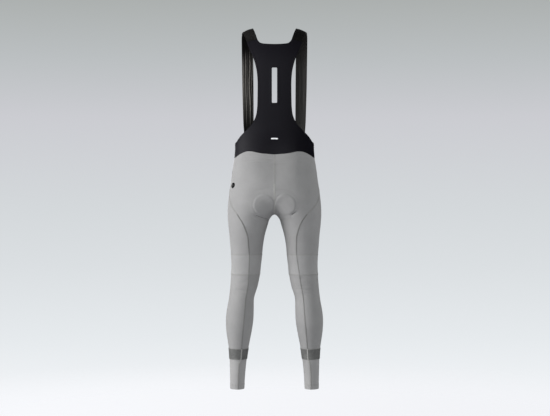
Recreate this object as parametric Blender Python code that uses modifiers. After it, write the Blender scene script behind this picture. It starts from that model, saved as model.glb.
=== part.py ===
# Long cycling tights with a bib, filled out as if worn and hollow inside.
# The garment's back faces -Y, its front +Y, and +X is the wearer's right.
# Heights in the tables are millimetres above the ankle hems.
import math

import bmesh
import bpy
import numpy as np

MM = 0.001

# Driving sizes
SHOULDER_HEIGHT = 1400  # underside of the straps where the shoulders carry them, the origin
CLOTH = 1.3  # wall of the knitted panels
BIB_CLOTH = 1.1  # wall of the black back panel
STRAP_CLOTH = 1.4  # wall of the elastic straps between their ribs
SEAM_GAP = 0.3
KNEE_TOP = 521
KNEE_BOTTOM = 448
BAND_TOP = 158
BAND_BOTTOM = 117
BAND_RISE = 1.6  # the reflective band stands this far proud
CUFF_TUCK = 0.2  # the cuff is sewn this far inside the line of the calf
SIDE_ANGLE = -30  # the black panel ends this far forward of the side
SIDE_TOP = 938
SIDE_BOTTOM = 882

# Mesh density
SEAT_BRIDGE = 4  # columns under the crotch, from its lowest point to the back rise
SEAT_WRAP = 12  # columns from the back rise to the side seam
FRONT_BRIDGE = 4
FRONT_WRAP = 11
BRIDGE_RISE = 36  # height of the bridge's upper end above the crotch
RISE_ROWS = 13
SIDE_ROWS = 3
THIGH_ROWS = 9
THIGH_TOP = 690  # height on the long seam at which the rows of the thigh begin
BIB_ROWS = 18

GREY = (0.36, 0.355, 0.35)
PALE_GREY = (0.40, 0.395, 0.39)
DARK_GREY = (0.13, 0.13, 0.13)
BLACK = (0.012, 0.012, 0.015)
PAD_BLACK = (0.02, 0.02, 0.022)

# The worn form. Each row is a level section made of two ovals, one for each leg, which run
# together above the crotch. Inner and outer are measured sideways from the middle of the body.
BODY_COLUMNS = ("height", "inner", "outer", "front", "back", "blend", "power")
BODY_ROWS = (
    (-30, 120.5, 171, 25, -37, 24, 2.0),
    (0, 118.3, 171.8, 26, -38, 24, 2.0),
    (60, 114.3, 173.2, 27, -41, 24, 2.0),
    (117, 108.4, 174.8, 30, -46, 24, 2.0),
    (158, 102.4, 177.2, 33, -54, 24, 2.0),
    (191, 96.0, 182.0, 36, -62, 24, 2.0),
    (230, 88.3, 187.2, 40, -72, 24, 2.0),
    (269, 82.6, 188.9, 43, -78, 24, 2.0),
    (308, 80.8, 185.5, 46, -77, 24, 2.0),
    (347, 80.4, 178.4, 48, -70, 24, 2.0),
    (406, 64.8, 172.0, 54, -58, 24, 2.1),
    (448, 56.6, 169.4, 60, -55, 24, 2.1),
    (484, 52.6, 168.0, 62, -56, 24, 2.1),
    (521, 48.4, 169.4, 63, -62, 24, 2.1),
    (562, 44.4, 172.6, 66, -71, 24, 2.0),
    (600, 37.8, 175.4, 71, -80, 24, 2.0),
    (640, 26.5, 179.6, 76, -92, 24, 2.0),
    (667, 17.2, 181.6, 79, -101, 24, 2.0),
    (681, 6.0, 182.0, 81, -106, 24, 2.0),
    (700, -14.0, 181.8, 84, -113, 30, 2.0),
    (720, -36.0, 180.6, 87, -119, 36, 2.05),
    (757, -76.0, 176.4, 86, -121, 44, 2.1),
    (796, -112.0, 171.0, 87, -117, 46, 2.15),
    (835, -140.0, 165.0, 90, -109, 36, 2.2),
    (874, -155.0, 158.6, 94, -98, 14, 2.2),
    (901, -156.2, 156.2, 96, -91, 0.5, 2.2),
    (945, -153.8, 153.8, 96, -84, 0.5, 2.2),
    (1000, -156, 156, 100, -87, 0.5, 2.3),
    (1080, -164, 164, 108, -96, 0.5, 2.4),
    (1160, -173, 173, 113, -104, 0.5, 2.4),
    (1230, -178, 178, 112, -106, 0.5, 2.4),
    (1290, -176, 176, 104, -97, 0.5, 2.4),
    (1330, -168, 168, 88, -80, 0.5, 2.3),
    (1365, -158, 158, 66, -58, 0.5, 2.2),
)

# Line of the long seam. Angles are taken round the leg: 0 at the outside, 90 at the back.
SEAM_COLUMNS = ("height", "outer_angle", "inner_angle")
SEAM_ROWS = (
    (0, 105.5, 205),
    (125, 106, 205),
    (300, 105, 205),
    (448, 102, 205),
    (521, 104, 205),
    (562, 102, 202),
    (600, 97, 198),
    (624, 90, 195),
    (659, 76, 188),
    (681, 61, 180),
    (705, 40, 180),
    (745, 14, 180),
    (800, -8, 180),
    (850, -22, 180),
    (882, -30, 180),
    (938, -30, 180),
)

# The bib's lower seam, from the middle of the back round to the side seam.
WAIST_COLUMNS = ("angle", "height")
WAIST_ROWS = (
    (90, 914),
    (72, 917),
    (54, 923),
    (40, 922),
    (25, 914),
    (0, 901),
    (-15, 891),
    (-30, 882),
)

# The armhole edge of the bib: half its width at the back, up to the shoulder seam. Below the
# first row it curves round to the side seam.
ARMHOLE_COLUMNS = ("height", "half_width")
ARMHOLE_ROWS = (
    (955, 150.5),
    (966, 144.5),
    (977, 136.5),
    (988, 127.0),
    (998, 116.0),
    (1006, 106.5),
    (1018, 94.0),
    (1031, 84.5),
    (1042, 78.5),
    (1058, 71.7),
    (1088, 66.6),
    (1119, 65.2),
    (1150, 64.7),
    (1180, 64.5),
    (1210, 65.8),
    (1241, 70.2),
    (1262, 75.5),
    (1285, 83.0),
    (1310, 93.6),
    (1346, 107.0),
)
SIDE_CORNER = (945, -8)  # height and angle of the edge where it turns round the side
SHOULDER_SEAM_INNER = (66, 1357)  # sideways, height
SHOULDER_SEAM_OUTER = (107, 1346)
NECK_MIDDLE = 1336
NECK_SHARE = 7 / 12  # part of the bib's top edge, out from the middle, that is neckline

SLOT_WIDTH = 21
SLOT_BOTTOM = 1106
SLOT_TOP = 1242
SLOT_CORNER = 3.5

# Front waist edge, from the side seam to the middle of the front.
FRONT_EDGE_COLUMNS = ("angle", "height")
FRONT_EDGE_ROWS = ((-90, 914), (-75, 919), (-55, 934), (-40, 939), (-30, 938))

# Each strap's run from the shoulder seam over the shoulder and down the chest.
STRAP_COLUMNS = ("inner_x", "inner_y", "inner_height", "outer_x", "outer_y", "outer_height")
STRAP_ROWS = (
    (74.5, -45, 1383, 114.5, -35, 1369.5),
    (81.5, -22, 1402, 121.5, -16, 1387),
    (85.0, 4, 1408.5, 126.0, 6, 1392.5),
    (86.0, 28, 1401, 128.0, 26, 1386),
    (86.0, 52, 1381, 128.6, 47, 1368),
    (85.6, 75, 1348, 128.3, 68, 1338),
    (85.2, 94, 1303, 128.2, 86, 1296),
    (84.8, 107, 1240, 127.6, 98, 1236),
    (84.4, 112, 1170, 126.4, 102, 1168),
    (84.0, 111, 1100, 124.6, 100, 1100),
    (83.5, 106, 1030, 122.0, 92, 1030),
    (80.0, 99, 970, 117.0, 84, 970),
)
STRAP_FRONT_INNER = 75
STRAP_FRONT_OUTER = 112.5
STRAP_CROWN = 2.2
STRAP_STEPS = 24
STRAP_RIBS = 4
STRAP_RIB_HEIGHT = 0.9
STRAP_SIDES = 3  # columns for each rib

# The pad pressed through the cloth: two round lobes and a thin border above them.
LOBE_SIDE = 44
LOBE_HEIGHT = 719
LOBE_RADIUS = 43
LOBE_RISE = 4.5
LOBE_EDGE = 14  # width of the slope at its rim
BORDER_RISE = 1.2
BORDER_MARGIN = 17
PAD_BACK_TOP = 772
PAD_FRONT_TOP = 748
PAD_COLUMNS = ("share", "half_width", "thickness")
PAD_ROWS = (
    (0.0, 58, 2.5),
    (0.10, 80, 5.0),
    (0.25, 84, 9.0),
    (0.38, 66, 9.0),
    (0.52, 30, 8.0),
    (0.66, 17, 7.0),
    (0.80, 24, 6.5),
    (0.92, 36, 5.0),
    (1.0, 34, 2.5),
)
PAD_CLEARANCE = 1.3  # the cloth bends between the pad's stitches
PAD_STEPS = 22
PAD_COLUMNS_ACROSS = 12

BADGE_SIDE = (-162, 794)  # sideways, height of its middle on the wearer's left hip
BADGE_RADIUS = 9
BADGE_THICKNESS = 1.0

STEP = 0.05  # small step for slopes
FAR = 320


def table(columns, rows):
    return {name: np.array([row[i] for row in rows], float) for i, name in enumerate(columns)}


BODY = table(BODY_COLUMNS, BODY_ROWS)
SEAM = table(SEAM_COLUMNS, SEAM_ROWS)
WAIST = table(WAIST_COLUMNS, WAIST_ROWS)
ARMHOLE = table(ARMHOLE_COLUMNS, ARMHOLE_ROWS)
FRONT_EDGE = table(FRONT_EDGE_COLUMNS, FRONT_EDGE_ROWS)
PAD = table(PAD_COLUMNS, PAD_ROWS)


def smooth(x, xs, ys):
    """Smooth curve through the points of a table, without overshoot where it turns."""
    order = np.argsort(xs)
    xs, ys = xs[order], ys[order]
    width = np.diff(xs)
    slope = np.diff(ys) / width
    tangent = np.empty(len(xs))
    tangent[0], tangent[-1] = slope[0], slope[-1]
    before, after = slope[:-1], slope[1:]
    mean = (before * width[1:] + after * width[:-1]) / (width[1:] + width[:-1])
    limit = 3 * np.minimum(abs(before), abs(after))
    tangent[1:-1] = np.where(before * after <= 0, 0, np.clip(mean, -limit, limit))
    x = np.clip(np.asarray(x, float), xs[0], xs[-1])
    i = np.clip(np.searchsorted(xs, x, side="right") - 1, 0, len(xs) - 2)
    t = (x - xs[i]) / width[i]
    return (
        ys[i] * (1 + 2 * t) * (1 - t) ** 2
        + tangent[i] * width[i] * t * (1 - t) ** 2
        + ys[i + 1] * t * t * (3 - 2 * t)
        + tangent[i + 1] * width[i] * t * t * (t - 1)
    )


def body(column, height):
    return smooth(height, BODY["height"], BODY[column])


def step_up(x):
    """0 below 0, 1 above 1 and a smooth ramp between."""
    x = np.clip(x, 0, 1)
    return x * x * (3 - 2 * x)


def relief(x, y, height):
    """How far the pad's lobes and border push the cloth out of the plain form."""
    side = abs(x)
    behind = step_up(-y / 30)
    reach = np.hypot(side - LOBE_SIDE, height - LOBE_HEIGHT)
    lobe = LOBE_RISE * step_up((LOBE_RADIUS - reach) / LOBE_EDGE)
    border = BORDER_RISE * step_up((LOBE_RADIUS + BORDER_MARGIN - reach) / LOBE_EDGE)
    return behind * np.maximum(lobe, border)


def form(x, y, height):
    """Distance outside the worn form, in millimetres, and negative inside it."""
    inner, outer = body("inner", height), body("outer", height)
    front, back = body("front", height), body("back", height)
    blend, power = body("blend", height), body("power", height)
    middle, half = (inner + outer) / 2, (outer - inner) / 2
    centre, depth = (front + back) / 2, (front - back) / 2
    dy = y - centre
    outside = []
    for dx in (x - middle, x + middle):
        dx = dx + 1e-7
        share = ((abs(dx) / half) ** power + (abs(dy) / depth) ** power) ** (1 / power)
        reach = np.hypot(dx, dy)
        outside.append(reach - reach / share)
    near = np.maximum(blend - abs(outside[0] - outside[1]), 0) / blend
    return np.minimum(*outside) - near * near * blend / 4 - relief(x, y, height)


def outward(x, y, height):
    """Unit normals of the worn form, shape (..., 3)."""
    d = STEP
    n = np.stack(
        [
            form(x + d, y, height) - form(x - d, y, height),
            form(x, y + d, height) - form(x, y - d, height),
            form(x, y, height + d) - form(x, y, height - d),
        ],
        -1,
    )
    return n / np.linalg.norm(n, axis=-1, keepdims=True)


def halve(value, low, high):
    """Where value(t) crosses from negative to positive between low and high."""
    for _ in range(46):
        middle = (low + high) / 2
        inside = value(middle) < 0
        low = np.where(inside, middle, low)
        high = np.where(inside, high, middle)
    return (low + high) / 2


def leg_centre(height):
    return (
        (body("inner", height) + body("outer", height)) / 2,
        (body("front", height) + body("back", height)) / 2,
    )


def place(angle, height):
    """Point of the worn form on the wearer's right, at an angle round the leg and a height."""
    angle, height = np.broadcast_arrays(np.radians(angle), np.asarray(height, float))
    middle, centre = leg_centre(height)
    along, down = np.cos(angle), -np.sin(angle)
    # An inward ray goes no further than the middle plane.
    far = np.where(middle > 1, np.minimum(middle / np.maximum(-along, 1e-9), FAR), FAR)
    reach = halve(
        lambda r: form(middle + r * along, centre + r * down, height),
        np.zeros(angle.shape),
        np.where(along < 0, far, FAR),
    )
    return np.stack([middle + reach * along, centre + reach * down, height], -1)


def middle_depth(height, side):
    """How far front (side 1) or back (side -1) the form reaches in the middle plane."""
    height = np.asarray(height, float)
    centre = leg_centre(height)[1]
    reach = halve(
        lambda r: form(0 * height, centre + side * r, height),
        np.zeros(height.shape),
        np.full(height.shape, float(FAR)),
    )
    return centre + side * reach


def crotch_height():
    """Lowest height at which the two legs have run together in the middle plane."""
    low, high = 640.0, 740.0
    for _ in range(46):
        middle = (low + high) / 2
        if form(0.0, leg_centre(middle)[1], middle) < 0:
            high = middle
        else:
            low = middle
    return high + 0.02


CROTCH = crotch_height()


def rise_points(top, side, count, power=1.0):
    """Heights spaced evenly along the rise from the crotch up to top, in the middle plane."""
    heights = CROTCH + (top - CROTCH) * np.linspace(0, 1, 400) ** 2
    depth = middle_depth(heights, side)
    length = np.concatenate([[0], np.cumsum(np.hypot(np.diff(heights), np.diff(depth)))])
    return np.interp(np.linspace(0, 1, count + 1) ** power * length[-1], length, heights)


def rise_angle(height, side):
    """Angle round the leg at which its section meets the middle plane."""
    middle, centre = leg_centre(height)
    return np.degrees(np.arctan2(centre - middle_depth(height, side), -middle)) % 360


def seam(column, height):
    return smooth(height, SEAM["height"], SEAM[column])


def coons(top, bottom, left, right):
    """Grid filled in between four edges, given as rows of the same kind."""
    u = np.linspace(0, 1, len(top))[None, :, None]
    v = np.linspace(0, 1, len(left))[:, None, None]
    across = (1 - v) * top[None] + v * bottom[None]
    down = (1 - u) * left[:, None] + u * right[:, None]
    upper = (1 - u) * top[0] + u * top[-1]
    lower = (1 - u) * bottom[0] + u * bottom[-1]
    return across + down - (1 - v) * upper - v * lower


def settled(points):
    """Points moved straight onto the worn form."""
    points = np.array(points, float)
    for _ in range(40):
        x, y, height = points[..., 0], points[..., 1], points[..., 2]
        normal = outward(x, y, height)
        ahead = points + STEP * normal
        slope = (form(*np.moveaxis(ahead, -1, 0)) - form(x, y, height)) / STEP
        move = np.clip(form(x, y, height) / np.maximum(slope, 0.3), -8, 8)
        points = points - move[..., None] * normal
    return points


def pairs(angle, height):
    return np.stack(np.broadcast_arrays(angle, height), -1).astype(float)


def outer_heights():
    """Heights down the long seam above the knee, shared by the panels on both sides of it."""
    upper = THIGH_TOP + (SIDE_BOTTOM - THIGH_TOP) * np.linspace(1, 0, RISE_ROWS + 1) ** 1.2
    lower = THIGH_TOP + (KNEE_TOP - THIGH_TOP) * np.linspace(0, 1, THIGH_ROWS + 1) ** 1.15
    return upper, lower


def inner_heights():
    """Heights down the inside of the thigh, closer together under the crotch."""
    return CROTCH + (KNEE_TOP - CROTCH) * np.linspace(0, 1, THIGH_ROWS + 1) ** 1.35


def long_seam(heights):
    return place(seam("outer_angle", heights), heights)


def thigh_patch(side, bridge, wrap, last_row):
    """Points of the leg part of a seat or front panel, which hangs from the bridge and last_row."""
    under = rise_points(CROTCH + BRIDGE_RISE, side, bridge)
    arch = np.stack([0 * under, middle_depth(under, side), under], -1)
    inner = inner_heights()
    turn = 360 if side > 0 else 0
    share = np.linspace(0, 1, bridge + wrap + 1)
    start, end = seam("inner_angle", KNEE_TOP), seam("outer_angle", KNEE_TOP) + turn
    top = np.concatenate([arch, last_row[1:]])
    bottom = place(start + (end - start) * share, KNEE_TOP)
    left = place(seam("inner_angle", inner), inner)
    left[0] = arch[0]
    right = long_seam(outer_heights()[1])
    return kept_edges(coons(top, bottom, left, right), top, bottom, left, right)


def kept_edges(grid, top, bottom, left, right):
    """The grid moved onto the form, with its four edges left as they were given."""
    grid = settled(grid)
    grid[0], grid[-1] = top, bottom
    grid[:, 0], grid[:, -1] = left, right
    return grid


def hip_row(side, wrap):
    """Points of the row from the bridge's upper end round to the long seam."""
    top = CROTCH + BRIDGE_RISE
    angle = rise_angle(np.array(top), side)
    end = seam("outer_angle", THIGH_TOP) + (360 if side > 0 else 0)
    share = np.linspace(0, 1, wrap + 1)
    row = place(angle + (end - angle) * share, top + (THIGH_TOP - top) * share)
    row[0] = (0, middle_depth(top, side), top)
    return row


def torso_patch(side, wrap, top, long_rows):
    """Points of the part of a seat or front panel above the bridge."""
    last = hip_row(side, wrap)
    rise = middle_rise(side, CROTCH + BRIDGE_RISE, top[0, 2], len(long_rows) - 1)
    left = np.stack([0 * rise, middle_depth(rise, side), rise], -1)
    right = long_seam(long_rows)
    top[0], top[-1] = left[0], right[0]
    return kept_edges(coons(top, last, left, right), top, last, left, right), last


def trimmed(points, cells, gap=SEAM_GAP / 2):
    """Moves the border points of a patch inwards along the cloth, to leave half a seam gap."""
    pull = np.zeros(points.shape)
    pulls = np.zeros(points.shape[:2])
    rows, columns = cells.shape
    for i in range(rows):
        for j in range(columns):
            if not cells[i, j]:
                continue
            centre = points[i : i + 2, j : j + 2].reshape(4, 3).mean(0)
            for di, dj, a, b in (
                (-1, 0, (i, j), (i, j + 1)),
                (1, 0, (i + 1, j), (i + 1, j + 1)),
                (0, -1, (i, j), (i + 1, j)),
                (0, 1, (i, j + 1), (i + 1, j + 1)),
            ):
                ni, nj = i + di, j + dj
                if 0 <= ni < rows and 0 <= nj < columns and cells[ni, nj]:
                    continue
                edge = points[b] - points[a]
                edge = edge / np.linalg.norm(edge)
                inward = centre - points[a]
                inward = inward - inward.dot(edge) * edge
                inward = inward / np.linalg.norm(inward)
                for corner in (a, b):
                    pull[corner] += inward
                    pulls[corner] += 1
    size = (pull**2).sum(-1)
    held = np.maximum(size / np.maximum(pulls, 1), 0.25)
    return points + gap * pull / held[..., None]


def wall(name, outer, inner, cells, colour, roughness):
    """One closed wall between two grids of points, over the cells that are cloth."""
    mesh = bpy.data.meshes.new(name)
    bm = bmesh.new()
    rows, columns = cells.shape
    made = {}

    def vertex(layer, i, j):
        key = (layer, i, j)
        if key not in made:
            x, y, height = (outer, inner)[layer][i, j]
            made[key] = bm.verts.new((x * MM, y * MM, (height - SHOULDER_HEIGHT) * MM))
        return made[key]

    for i in range(rows):
        for j in range(columns):
            if not cells[i, j]:
                continue
            ring = ((i, j), (i, j + 1), (i + 1, j + 1), (i + 1, j))
            # Both faces of the cloth are split along the same diagonal.
            slant = np.linalg.norm(outer[ring[0]] - outer[ring[2]])
            start = 0 if slant <= np.linalg.norm(outer[ring[1]] - outer[ring[3]]) else 1
            turned = ring[start:] + ring[:start]
            for corners in ((0, 1, 2), (0, 2, 3)):
                bm.faces.new([vertex(0, *turned[c]) for c in corners])
                bm.faces.new([vertex(1, *turned[c]) for c in reversed(corners)])
            beside = ((i - 1, j), (i, j + 1), (i + 1, j), (i, j - 1))
            for k, (ni, nj) in enumerate(beside):
                if 0 <= ni < rows and 0 <= nj < columns and cells[ni, nj]:
                    continue
                a, b = ring[k], ring[(k + 1) % 4]
                bm.faces.new([vertex(0, *b), vertex(0, *a), vertex(1, *a), vertex(1, *b)])
    bmesh.ops.recalc_face_normals(bm, faces=bm.faces)
    bm.to_mesh(mesh)
    bm.free()
    mesh.shade_smooth()
    mesh.set_sharp_from_angle(angle=math.radians(50))
    mesh.materials.append(material(name, colour, roughness))
    made_object = bpy.data.objects.new(name, mesh)
    garment.objects.link(made_object)
    return made_object


def material(name, colour, roughness, metallic=0.0):
    made = bpy.data.materials.new(name)
    made.use_nodes = True
    shader = made.node_tree.nodes["Principled BSDF"]
    shader.inputs["Base Color"].default_value = (*colour, 1)
    shader.inputs["Roughness"].default_value = roughness
    shader.inputs["Metallic"].default_value = metallic
    return made


def cloth_piece(name, points, cells, colour, thickness=CLOTH, rise=0.0, roughness=0.75):
    """A panel whose outer face lies on the worn form, moved out by rise, for each leg side."""
    normal = outward(points[..., 0], points[..., 1], points[..., 2])
    outer = trimmed(points + rise * normal, cells)
    inner = outer - thickness * normal
    return wall(name, outer, inner, cells, colour, roughness)


def mirrored(points):
    return points * np.array([-1, 1, 1])


SIDES = (("right", lambda p: p), ("left", mirrored))


def both_sides(name, points, cells, colour, **options):
    for side, turn in SIDES:
        cloth_piece(f"{name}_{side}", turn(points), cells, colour, **options)


def waist_row():
    """Points of the bib's lower seam, from the middle of the back to the side seam."""
    angle = np.linspace(90, SIDE_ANGLE, SEAT_WRAP + 1)
    row = place(angle, smooth(angle, WAIST["angle"], WAIST["height"]))
    row[0, 0] = 0
    return row


def seat_points():
    """Points of the right seat panel, and which of its cells are cloth."""
    torso, last = torso_patch(-1, SEAT_WRAP, waist_row(), outer_heights()[0])
    return joined(torso, thigh_patch(-1, SEAT_BRIDGE, SEAT_WRAP, last), SEAT_BRIDGE)


def front_points():
    """Points of the right front panel, and which of its cells are cloth."""
    beside_bib = np.linspace(SIDE_TOP, SIDE_BOTTOM, SIDE_ROWS + 1)
    long_rows = np.concatenate([beside_bib[:-1], outer_heights()[0]])
    torso, last = torso_patch(1, FRONT_WRAP, front_row(), long_rows)
    return joined(torso, thigh_patch(1, FRONT_BRIDGE, FRONT_WRAP, last), FRONT_BRIDGE)


def middle_rise(side, bridge_top, top, rows):
    """Heights down the centre seam from the waist to the end of the bridge."""
    heights = np.linspace(top, bridge_top, 400)
    depth = middle_depth(heights, side)
    length = np.concatenate([[0], np.cumsum(np.hypot(np.diff(heights), np.diff(depth)))])
    share = 1 - np.linspace(1, 0, rows + 1) ** 1.2
    return np.interp(share * length[-1], length, heights)


def joined(torso, leg, bridge):
    """Puts a torso grid on top of a leg grid that is wider by the bridge's columns."""
    rows = len(torso) - 1 + len(leg)
    grid = np.zeros((rows, leg.shape[1], 3))
    grid[len(torso) - 1 :] = leg
    grid[: len(torso) - 1, bridge:] = torso[:-1]
    grid[: len(torso) - 1, :bridge] = leg[0, :bridge]
    cells = np.ones((rows - 1, leg.shape[1] - 1), bool)
    cells[: len(torso) - 1, :bridge] = False
    return grid, cells


def ring_shares():
    """The columns of every ring below the knee seam, in step with the panels above it."""
    first = np.linspace(0, 1, SEAT_BRIDGE + SEAT_WRAP + 1)
    second = np.linspace(0, 1, FRONT_BRIDGE + FRONT_WRAP + 1)
    return first, second


def ring_grid(heights):
    """A tube round the leg, open along the long seam at the back."""
    first, second = ring_shares()
    rows = []
    for height in heights:
        outer, inner = seam("outer_angle", height), seam("inner_angle", height)
        behind = outer + (inner - outer) * first
        ahead = inner + (outer + 360 - inner) * second[1:]
        rows.append(place(np.concatenate([behind, ahead]), height))
    grid = np.array(rows)
    return grid, np.ones((grid.shape[0] - 1, grid.shape[1] - 1), bool)


def build_legs():
    for name, top, bottom, rows, colour, rise, roughness in (
        ("knee_band", KNEE_TOP, KNEE_BOTTOM, 2, PALE_GREY, 0.2, 0.7),
        ("calf_panel", KNEE_BOTTOM, BAND_TOP, 10, GREY, 0.0, 0.75),
        ("reflective_band", BAND_TOP, BAND_BOTTOM, 1, DARK_GREY, BAND_RISE, 0.45),
        ("ankle_cuff", BAND_BOTTOM, 0, 3, GREY, -CUFF_TUCK, 0.7),
    ):
        points, cells = ring_grid(np.linspace(top, bottom, rows + 1))
        both_sides(name, points, cells, colour, rise=rise, roughness=roughness)


def torso_angle(x, height):
    """Angle round the torso, towards the back, of the point x millimetres from the middle."""
    low, high = np.zeros(np.shape(x)), np.full(np.shape(x), 90.0)
    for _ in range(40):
        middle = (low + high) / 2
        wide = place(middle, height)[..., 0] > x
        low = np.where(wide, middle, low)
        high = np.where(wide, high, middle)
    return (low + high) / 2


def bib_top(share):
    """Angle and height of the bib's top edge, from the middle of the neck to the shoulder's end."""
    neck = np.clip(share / NECK_SHARE, 0, 1)
    along = np.clip((share - NECK_SHARE) / (1 - NECK_SHARE), 0, 1)
    inner, outer = np.array(SHOULDER_SEAM_INNER, float), np.array(SHOULDER_SEAM_OUTER, float)
    x = neck * inner[0] + along * (outer[0] - inner[0])
    rise = 0.25 * neck**2 + 0.75 * neck**10
    height = NECK_MIDDLE + (inner[1] - NECK_MIDDLE) * rise + along * (outer[1] - inner[1])
    return torso_angle(x, height), height


def bib_grid():
    """Half of the bib, from the middle of the back to its edge, as angles and heights."""
    share = np.linspace(0, 1, SEAT_WRAP + 1)
    low_angle = np.linspace(90, SIDE_ANGLE, SEAT_WRAP + 1)
    bottom = pairs(low_angle, smooth(low_angle, WAIST["angle"], WAIST["height"]))
    top_angle, top_height = bib_top(share)
    top = pairs(top_angle, top_height)
    side = np.linspace(SIDE_BOTTOM, SIDE_TOP, SIDE_ROWS + 1)
    edge = np.concatenate([side, armhole_heights()[1:]])
    angle = np.concatenate([np.full(SIDE_ROWS + 1, SIDE_ANGLE), armhole_angle(edge[SIDE_ROWS + 1 :])])
    right = pairs(angle, edge)
    right[-1] = top[-1]
    middle = pairs(90, np.linspace(914, NECK_MIDDLE, len(edge)))
    middle[:, 1] = middle_line(edge)
    return coons(bottom, top, middle, right)


def middle_line(edge):
    """Heights of the rows at the middle of the back, spread as the rows are at the edge."""
    share = (edge - edge[0]) / (edge[-1] - edge[0])
    even = np.linspace(0, 1, len(edge))
    return 914 + (NECK_MIDDLE - 914) * (0.35 * share + 0.65 * even)


def armhole_angle(height):
    """Angle round the torso of the armhole edge."""
    known = torso_angle(ARMHOLE["half_width"], ARMHOLE["height"])
    heights = np.concatenate([[SIDE_TOP, SIDE_CORNER[0]], ARMHOLE["height"]])
    return smooth(height, heights, np.concatenate([[SIDE_ANGLE, SIDE_CORNER[1]], known]))


def armhole_heights():
    """Heights up the armhole edge, evenly spaced along it."""
    heights = np.linspace(SIDE_TOP, SHOULDER_SEAM_OUTER[1], 300)
    points = place(armhole_angle(heights), heights)
    steps = np.linalg.norm(np.diff(points, axis=0), axis=1)
    length = np.concatenate([[0], np.cumsum(steps)])
    return np.interp(np.linspace(0, length[-1], BIB_ROWS + 1), length, heights)


def build_bib():
    grid = bib_grid()
    half = place(grid[..., 0], grid[..., 1])
    half[:, 0, 0] = 0
    whole = np.concatenate([mirrored(half[:, :0:-1]), half], axis=1)
    cells = np.ones((whole.shape[0] - 1, whole.shape[1] - 1), bool)
    panel = cloth_piece("bib_back_panel", whole, cells, BLACK, thickness=BIB_CLOTH)
    cut_slot(panel)
    return half


def cut_slot(panel):
    """Cuts the upright slot through the back panel with a round-cornered cutter."""
    middle_z = ((SLOT_TOP + SLOT_BOTTOM) / 2 - SHOULDER_HEIGHT) * MM
    bpy.ops.mesh.primitive_cube_add(size=1, location=(0, -105 * MM, middle_z))
    cutter = bpy.context.object
    cutter.name = "slot_cutter"
    cutter.scale = (SLOT_WIDTH * MM, 30 * MM, (SLOT_TOP - SLOT_BOTTOM) * MM)
    bpy.ops.object.transform_apply(location=False, rotation=False, scale=True)
    corner = cutter.modifiers.new("corners", "BEVEL")
    corner.width = SLOT_CORNER * MM
    corner.segments = 2
    corner.limit_method = "WEIGHT"
    weight = cutter.data.attributes.new("bevel_weight_edge", "FLOAT", "EDGE")
    for edge in cutter.data.edges:
        a, b = (cutter.data.vertices[v].co for v in edge.vertices)
        weight.data[edge.index].value = float(abs(a.y - b.y) > 1e-4)
    for collection in cutter.users_collection:
        collection.objects.unlink(cutter)
    cutters.objects.link(cutter)
    cutter.hide_render = True
    cutter.display_type = "WIRE"
    slot = panel.modifiers.new("slot", "BOOLEAN")
    slot.object = cutter
    slot.operation = "DIFFERENCE"


def curve_rows(rows, steps):
    """Rows spread evenly by length along a smooth curve through the given rows."""
    rows = np.array(rows, float)
    middle = rows.reshape(len(rows), -1, 3).mean(1)
    along = np.concatenate([[0], np.cumsum(np.linalg.norm(np.diff(middle, axis=0), axis=1))])
    even = np.linspace(0, along[-1], steps + 1)
    return np.stack([smooth(even, along, rows[:, k]) for k in range(rows.shape[1])], -1)


def shoulder_seam(share):
    """Points of the bib's shoulder seam, from its inner end to its outer end."""
    angle, height = bib_top(NECK_SHARE + (1 - NECK_SHARE) * share)
    return place(angle, height)


def front_row():
    """Points of the front waist edge, from the middle to the side seam."""
    angle = np.linspace(-90, SIDE_ANGLE, FRONT_WRAP + 1)
    return place(angle, smooth(angle, FRONT_EDGE["angle"], FRONT_EDGE["height"]))


def strap_surface():
    """Points of the right strap's middle face, from the shoulder seam to the front waist."""
    across = np.linspace(0, 1, STRAP_RIBS * STRAP_SIDES + 1)
    start = shoulder_seam(across)
    edge = front_row()
    x = STRAP_FRONT_INNER + (STRAP_FRONT_OUTER - STRAP_FRONT_INNER) * across
    end = np.stack([np.interp(x, edge[:, 0], edge[:, k]) for k in range(3)], -1)
    first = np.concatenate([start[0], start[-1]])
    last = np.concatenate([end[0], end[-1]])
    edges = curve_rows([first, *STRAP_ROWS, last], STRAP_STEPS).reshape(-1, 2, 3)
    points = edges[:, :1] + (edges[:, 1:] - edges[:, :1]) * across[None, :, None]
    points = points + STRAP_CROWN * np.sin(np.pi * across)[None, :, None] * facing(points)
    rows = np.arange(STRAP_STEPS + 1)[:, None, None]
    points = points + (start - points[0]) * step_up(1 - rows / 3)
    return points + (end - points[-1]) * step_up(1 - (STRAP_STEPS - rows) / 3)


def facing(points):
    """Unit normals of a grid of points, on the side away from the body for the straps."""
    normal = np.cross(np.gradient(points, axis=1), np.gradient(points, axis=0))
    return normal / np.linalg.norm(normal, axis=-1, keepdims=True)


def build_straps():
    points = strap_surface()
    normal = facing(points)
    cells = np.ones((points.shape[0] - 1, points.shape[1] - 1), bool)
    across = np.linspace(0, 1, points.shape[1])
    rib = STRAP_RIB_HEIGHT * (0.5 - 0.5 * np.cos(2 * np.pi * STRAP_RIBS * across))
    sewn = trimmed(points, cells)
    outer = sewn + rib[None, :, None] * normal
    inner = sewn - STRAP_CLOTH * normal
    for side, turn in SIDES:
        wall(f"strap_{side}", turn(outer), turn(inner), cells, BLACK, 0.6)


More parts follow.
